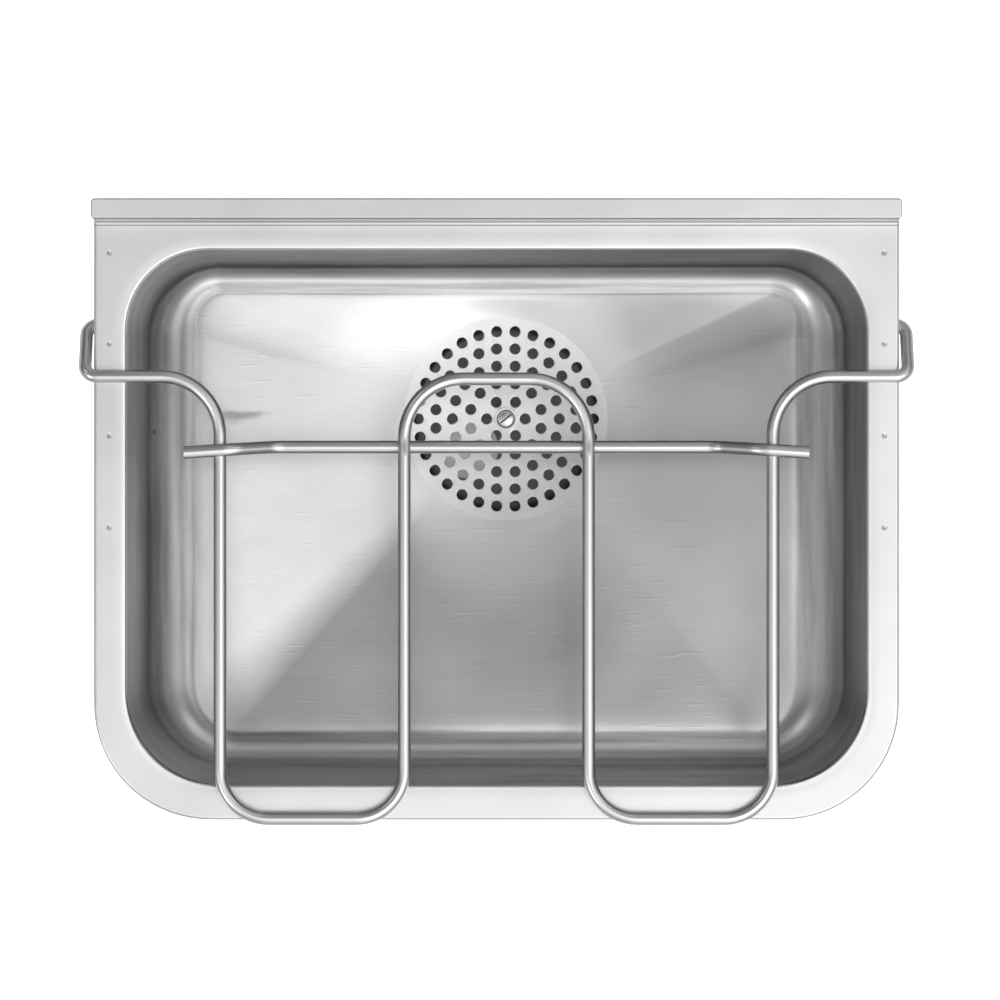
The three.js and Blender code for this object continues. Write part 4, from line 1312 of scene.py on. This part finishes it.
def drawn_and_shaded_walls(tree, place, colour, roughness):
    """Streaked and rougher on the walls and most of the radius, with painted light and shade on them
    and on the floor, and plain on the outside.
    """
    dullness_and_shade, outside = (
        node(tree, "Attribute", attribute_name=name).outputs["Fac"] for name in ("dullness_and_shade", "outside")
    )
    floor = painted_light_round_strainer(tree, place, stained_and_shaded(tree, place, colour, SHADED_PATCH))
    wall = wall_tone(tree, place, dullness_and_shade)
    inside = blended(tree, soft_step(tree, dullness_and_shade, *WALL_SHADE_FROM), floor, wall)
    for spot in (SMUDGE, SPECK):
        inside = stained_and_shaded(tree, place, inside, spot)
    rougher = reckon(tree, "MAXIMUM", soft_step(tree, dullness_and_shade, *ROUGH_FROM), outside)
    roughness = reckon(tree, "MULTIPLY_ADD", rougher, WALL_ROUGHER, roughness)
    return blended(tree, outside, inside, colour), roughness


# %% [markdown]
# The deck is buffed smoother in a narrow band round the opening, where the weld to the bowl was
# ground away, and a painted highlight lightens that band. Painted shade darkens the lip, the
# upstand's two folds and a spot a little left of each spot weld's crater. The middle legs are darker
# on the electrodes' flats, and painted shade fills the slot of the screw.

# %% Zones of the deck, the rod and the screw
# painted highlight on the band beside the opening, which is also buffed smoother, and painted shade on
# the lip
EDGE_HIGHLIGHT_TONE = 0.84
EDGE_SMOOTHER = 0.06
EDGE_REACH = 0.6 * DRAWN_WIDTH
LIP_SHADE_TONE = 0.3
LIP_FROM = (0.3 * MM, -0.6 * MM)  # how far outside the opening the lip's painted shade starts and is full
# painted shade along the upstand's front fold and in the crease at its foot
FOLD_SHADE_TONE = 0.3
FOLD_Y = -12.7 * MM  # the upstand's front fold
FOLD_WIDTH = 0.8 * MM
FOLD_FROM = (20 * MM, 22.4 * MM)  # heights over which the fold's painted shade sets in
CREASE_SHADE_TONE = 0.28
CREASE_Y = -15.4 * MM  # where the upstand's foot meets the deck
CREASE_WIDTH = 0.7 * MM
# painted shade a little left of each spot weld's crater
CRATER_SHADE_OFF = (-0.7 * MM, 0.3 * MM)  # how far the painted shade lies off its crater
CRATER_SHADE_REACH = (1.5 * MM, 2.1 * MM, 2 * MM)
CRATER_SHADE_STRENGTH = 0.8
MARK_REACH = (2.4 * MM, 8 * MM, 1.2 * MM)
MARK_STRENGTH = 0.6
# painted shade in the screw's slot
SLOT_SHADE_TONE = 0.05
SLOT_SHADE_WIDTH = 1.2 * SLOT
BAND_CORE = 0.3  # share of a band's half width inside which it is full


def band(tree, value, centre, reach):
    """1 in the middle of a narrow band of values, 0 outside it."""
    off = reckon(tree, "ABSOLUTE", reckon(tree, "SUBTRACT", value, centre))
    return soft_step(tree, off, reach, BAND_CORE * reach)


def buffed_edge_light_and_shade(tree, place, colour, roughness):
    """A painted highlight beside the opening, where the deck is also buffed smoother, and painted
    shade on its lip, by the distance to a rounded rectangle.
    """
    x, y = node(tree, "SeparateXYZ", {0: place}).outputs[:2]
    radius = (BACK_CORNER + FRONT_CORNER) / 2
    half_y = (OPENING_BACK - OPENING_FRONT) / 2
    middle_y = (OPENING_BACK + OPENING_FRONT) / 2
    squares = []
    for value, centre, half in ((x, 0.0, OPENING_HALF), (y, middle_y, half_y)):
        from_middle = reckon(tree, "ABSOLUTE", reckon(tree, "SUBTRACT", value, centre))
        over = reckon(tree, "MAXIMUM", reckon(tree, "SUBTRACT", from_middle, half - radius), 0.0)
        squares.append(reckon(tree, "MULTIPLY", over, over))
    reach = reckon(tree, "SQRT", reckon(tree, "ADD", *squares))
    mask = soft_step(tree, reach, radius + EDGE_REACH, radius + MM)
    lip = soft_step(tree, reach, *(radius + off for off in LIP_FROM))
    colour = blended(tree, lip, blended(tree, mask, colour, grey(EDGE_HIGHLIGHT_TONE)), grey(LIP_SHADE_TONE))
    return colour, reckon(tree, "MULTIPLY_ADD", mask, -EDGE_SMOOTHER, roughness)


def deck_buffed_and_shaded(tree, place, colour, roughness):
    """Buffed beside the opening, with painted light there, and painted shade on the lip, along the
    folds and beside the spot welds.
    """
    colour, roughness = buffed_edge_light_and_shade(tree, place, colour, roughness)
    y, z = node(tree, "SeparateXYZ", {0: place}).outputs[1:]
    high = soft_step(tree, z, *FOLD_FROM)
    fold = reckon(tree, "MULTIPLY", band(tree, y, FOLD_Y, FOLD_WIDTH), high)
    colour = blended(tree, fold, colour, grey(FOLD_SHADE_TONE))
    colour = blended(tree, band(tree, y, CREASE_Y, CREASE_WIDTH), colour, grey(CREASE_SHADE_TONE))
    for side in (-1, 1):
        for back in WELD_FROM_WALL:
            centre = (side * WELD_X + CRATER_SHADE_OFF[0], CRATER_SHADE_OFF[1] - back, -WELD_DEPTH / 2)
            colour = stained_and_shaded(tree, place, colour, StainAndShade(centre, CRATER_SHADE_REACH, CRATER_SHADE_STRENGTH))
    return colour, roughness


def electrode_marks(tree, place, colour, roughness):
    """Darker on the electrodes' flats of the two middle legs."""
    for side in (-1, 1):
        centre = (side * INNER_LEG, WELD_CROSSING, grid_high.z - PRESS_DEPTH)
        colour = stained_and_shaded(tree, place, colour, StainAndShade(centre, MARK_REACH, MARK_STRENGTH))
    return colour, roughness


def slot_shade(tree, place, colour, roughness):
    """Painted shade in the screw's slot."""
    offset = with_places(tree, "SUBTRACT", place, DRAIN)["Vector"]
    across = (-math.sin(SLOT_TURN), math.cos(SLOT_TURN), 0)
    from_slot = with_places(tree, "DOT_PRODUCT", offset, across)["Value"]
    return blended(tree, band(tree, from_slot, 0.0, SLOT_SHADE_WIDTH), colour, grey(SLOT_SHADE_TONE)), roughness


# %% One recipe for every steel
CLOUDS = (0.35, 0.65)  # the cloudy patches' own lowest and highest values, nearly
GRAIN_ROUGHER = 0.08
GRAIN_BUMP = 0.12
GRAIN_DEPTH = 0.05 * MM
SCRATCH_BUMP = 0.4
SCRATCH_DEPTH = 0.02 * MM
WAVE_DEPTH = 1.5 * MM


def new_material(name):
    """An empty material and its nodes."""
    material = bpy.data.materials.new(name)
    material.use_nodes = True
    material.node_tree.nodes.clear()
    return material, material.node_tree


def steel(
    name, dark, light, rough, turn=0.0, lines=1.0, waves=0.4, scratches=1.0, grazing=1.0, zone=None
):
    """Steel between two tones. `rough` is (smoothest, roughest), `turn` is the grain's direction
    in degrees from X, and the next three say how strong the marks are. `grazing` is how much of
    a flat glance it reflects. `zone` changes the finish where the piece was handled differently."""
    material, tree = new_material(name)
    place = node(tree, "TexCoord").outputs["Object"]
    rotation = (0, 0, math.radians(turn))
    turned = node(tree, "Mapping", {"Vector": place, "Rotation": rotation}).outputs[0]
    grain = mark(tree, brushed_lines, turned)
    clouds = mark(tree, cloudy_patches, place)
    scored = mark(tree, stray_scratches, turned)
    cloudy = spread(tree, clouds, *CLOUDS, *rough)
    roughness = reckon(tree, "MULTIPLY_ADD", grain, GRAIN_ROUGHER * lines, cloudy)
    colour = blended(tree, clouds, grey(dark), grey(light))
    if zone:
        colour, roughness = zone(tree, place, colour, roughness)
    normal = bumped(tree, grain, GRAIN_BUMP * lines, GRAIN_DEPTH)
    normal = bumped(tree, scored, SCRATCH_BUMP * scratches, SCRATCH_DEPTH, normal)
    normal = bumped(tree, clouds, waves, WAVE_DEPTH, normal)
    surface = {"Base Color": colour, "Metallic": 1.0, "Roughness": roughness, "Normal": normal}
    shader = node(tree, "BsdfPrincipled", {**surface, "Specular Tint": grey(grazing)})
    node(tree, "OutputMaterial", {"Surface": shader.outputs[0]})
    return material


SMALL_MARKS = {"lines": 0.2, "waves": 0.1, "scratches": 0.4}
DECK_STEEL = steel("deck_steel", 0.7, 0.82, (0.3, 0.36), waves=0.6, zone=deck_buffed_and_shaded)
BOWL_STEEL = steel(
    "bowl_steel", 0.48, 0.6, (0.14, 0.19), waves=0.3, grazing=0.6, zone=drawn_and_shaded_walls
)
STRAINER_STEEL = steel("strainer_steel", 0.67, 0.75, (0.16, 0.2), turn=20)
SCREW_STEEL = steel("screw_steel", 0.72, 0.8, (0.2, 0.26), zone=slot_shade, **SMALL_MARKS)
ROD_STEEL = steel("rod_steel", 0.68, 0.74, (0.27, 0.32), zone=electrode_marks, **SMALL_MARKS)
PLAIN_STEEL = steel("plain_steel", 0.48, 0.58, (0.36, 0.46))
# painted shade: a darker copy of the plain steel for the cup and post, which sit in shade under the
# strainer
SHADED_STEEL = steel("shaded_steel", 0.26, 0.36, (0.4, 0.5))
print(len(BOWL_STEEL.node_tree.nodes), "nodes in the bowl's steel")

# %% Rubber and plastic
MOULD_ROUGHER = 0.08
MOULD_LIGHTER = 1.6
MOULD_BUMP = 0.3
MOULD_DEPTH = 0.05 * MM


def moulded(name, colour, rough, grain):
    """A dark moulded finish with a fine leathery bump."""
    material, tree = new_material(name)
    place = node(tree, "TexCoord").outputs["Object"]
    patches = mark(tree, cloudy_patches, place, Fineness=grain)
    lighter = tuple(MOULD_LIGHTER * part for part in colour[:3]) + (1,)
    surface = {
        "Base Color": blended(tree, patches, colour, lighter),
        "Roughness": spread(tree, patches, 0.0, 1.0, rough - MOULD_ROUGHER, rough + MOULD_ROUGHER),
        "Normal": bumped(tree, patches, MOULD_BUMP, MOULD_DEPTH),
    }
    shader = node(tree, "BsdfPrincipled", surface)
    node(tree, "OutputMaterial", {"Surface": shader.outputs[0]})
    return material


RUBBER = moulded("black_rubber", (0.012, 0.012, 0.013, 1), 0.75, 900.0)
PLASTIC = moulded("black_plastic", (0.018, 0.018, 0.02, 1), 0.42, 1400.0)

# %% [markdown]
# ## Putting it together
#
# Each piece stands for one node of the frame and rides on that node's body: everything belongs to
# the sink, apart from the two rods of the grid, which swing together.

# %% Pieces, nodes, bodies and finishes
PIECES = (
    (bowl, "bowl", "sink", "sheet_steel", BOWL_STEEL),
    (deck, "deck", "sink", "sheet_steel", DECK_STEEL),
    (strainer, "strainer_disc", "sink", "sheet_steel", STRAINER_STEEL),
    (screw, "drain_screw", "sink", "rod_steel", SCREW_STEEL),
    (cup, "drain_cup", "sink", "plain_steel", SHADED_STEEL),
    (gasket, "drain_gasket", "sink", "black_rubber", RUBBER),
    (post, "drain_post", "sink", "plain_steel", SHADED_STEEL),
    (pipe, "outlet_pipe", "sink", "plain_steel", PLAIN_STEEL),
    (seal, "outlet_seal", "sink", "black_rubber", RUBBER),
    (nut, "outlet_nut", "sink", "black_plastic", PLASTIC),
    (bracket_left, "bracket_left", "sink", "plain_steel", PLAIN_STEEL),
    (bracket_right, "bracket_right", "sink", "plain_steel", PLAIN_STEEL),
    (grid, "grid_rod", "grid", "rod_steel", ROD_STEEL),
    (cross, "grid_cross_rod", "grid", "rod_steel", ROD_STEEL),
)

for piece, replaced, body, slot, material in PIECES:
    piece.data.materials.clear()
    piece.data.materials.append(material)
    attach(piece, body)
    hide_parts(replaced)
print(len(PIECES), "pieces ride the frame")

# %% [markdown]
# ## Floor, light and camera
#
# The photograph looks straight down on the sink with a long lens. Polished steel shows only what
# stands round it, so the light is drawn in the sky itself: two profiles of brightness, one across
# from left to right and one from the front to the wall, are multiplied, and three soft round lamps
# stand at the sides. The light is wide, and it leans to the front and to the right. The camera
# itself sees a plain white sky. The floor is a plain pale plane, but the steel mirrors a darker one,
# like the dark studio that stands round a photographer's table.

# %% The floor
FLOOR_BELOW = 0.32
FLOOR_SIZE = 24
FLOOR_TONE = 0.55
FLOOR_TONE_IN_STEEL = 0.16


def by_ray(tree, ray, other, this):
    """One shader for this kind of ray and another for all others."""
    share = node(tree, "LightPath").outputs[ray]
    return node(tree, "MixShader", {0: share, 1: other, 2: this}).outputs[0]


def make_floor():
    bpy.ops.mesh.primitive_plane_add(size=FLOOR_SIZE, location=(0, 0, -FLOOR_BELOW))
    floor = added("studio_floor")
    material, tree = new_material("pale_floor")
    pale, dim = [
        node(tree, "BsdfDiffuse", {"Color": (tone, tone, tone, 1)}).outputs[0]
        for tone in (FLOOR_TONE, FLOOR_TONE_IN_STEEL)
    ]
    node(tree, "OutputMaterial", {"Surface": by_ray(tree, "Is Glossy Ray", pale, dim)})
    floor.data.materials.append(material)
    return floor


floor = make_floor()

# %% The sky
SKY_LIGHT = 2.9
BACKDROP = 1.3
# (degrees from straight up, share of the light) from the left, -90, to the right
ACROSS = (
    (-90, 0.12), (-60, 0.3), (-40, 0.4), (-14, 0.4), (-2, 0.4), (3.5, 1), (22, 1), (34, 0.9),
    (50, 0.6), (70, 0.3), (90, 0.12),
)
# the same from the front, -90, to the wall
TO_WALL = (
    (-90, 0.4), (-70, 0.5), (-50, 0.65), (-30, 0.85), (-18, 1), (-8, 1), (1, 0.86), (4.5, 0.2),
    (24, 0.24), (50, 0.26), (70, 0.2), (90, 0.1),
)
LAMP_CORE = 1 / 3  # share of a lamp's reach that has its full brightness
LAMPS = (
    # the direction of a soft lamp, the angle it fills and its brightness
    ((-0.62, -0.42, 0.66), 26, 4.4),
    ((-0.62, 0.45, 0.65), 22, 1.6),
    ((0.62, 0.45, 0.65), 22, 1.6),
)


def profile(tree, sideways, up, stops):
    """Brightness by the angle between straight up and one side."""
    turn = reckon(tree, "DEGREES", reckon(tree, "ARCTAN2", sideways, up))
    levels = [((degrees + 90) / 180, level) for degrees, level in stops]
    return ramp_of(tree, spread(tree, turn, -90.0, 90.0), levels)


def lamp(tree, place, direction, angle, brightness):
    """A round soft patch of light in the sky."""
    near = with_places(tree, "DOT_PRODUCT", place, Vector(direction).normalized())["Value"]
    reach = math.radians(angle / 2)
    glow = soft_step(tree, near, math.cos(reach), math.cos(LAMP_CORE * reach))
    return reckon(tree, "MULTIPLY", glow, brightness)


def make_sky():
    world = bpy.data.worlds.new("studio_sky")
    bpy.context.scene.world = world
    world.use_nodes = True
    tree = world.node_tree
    tree.nodes.clear()
    place = node(tree, "TexCoord").outputs["Generated"]
    x, y, z = node(tree, "SeparateXYZ", {0: place}).outputs
    across, to_wall = profile(tree, x, z, ACROSS), profile(tree, y, z, TO_WALL)
    light = reckon(tree, "MULTIPLY", reckon(tree, "MULTIPLY", across, to_wall), SKY_LIGHT)
    for direction, angle, brightness in LAMPS:
        light = reckon(tree, "ADD", light, lamp(tree, place, direction, angle, brightness))
    lit, backdrop = [
        node(tree, "Background", {"Strength": strength}).outputs[0] for strength in (light, BACKDROP)
    ]
    node(tree, "OutputWorld", {"Surface": by_ray(tree, "Is Camera Ray", lit, backdrop)})


make_sky()

# %% A wash of light from straight above, which the steel doesn't mirror
FLOOR_LIGHT = 9.0
FLOOR_LIGHT_WIDTH = 30  # degrees: the shadow lies right under the sink, with a soft edge

bpy.ops.object.light_add(type="SUN", location=(0, 0, 3))
sun = bpy.context.object
sun.name = "floor_wash"
sun.data.energy = FLOOR_LIGHT
sun.data.angle = math.radians(FLOOR_LIGHT_WIDTH)
sun.visible_glossy = False
print("the sun fills", FLOOR_LIGHT_WIDTH, "degrees")

# %% The camera
CAMERA_HEIGHT = 3.0
SENSOR = 36
PHOTO_WIDTH = 620.7 * MM  # what the photograph's width covers at the height of the rim
PHOTO_CENTRE = (2.17 * MM, -186 * MM)

bpy.ops.object.camera_add(location=(*PHOTO_CENTRE, CAMERA_HEIGHT), rotation=(0, 0, 0))
camera = bpy.context.object
camera.name = "photo_camera"
camera.data.sensor_width = SENSOR
camera.data.lens = SENSOR * CAMERA_HEIGHT / PHOTO_WIDTH
bpy.context.scene.camera = camera
bpy.context.scene.view_settings.view_transform = "Standard"
print(f"lens {camera.data.lens:.0f} mm at {CAMERA_HEIGHT} m")
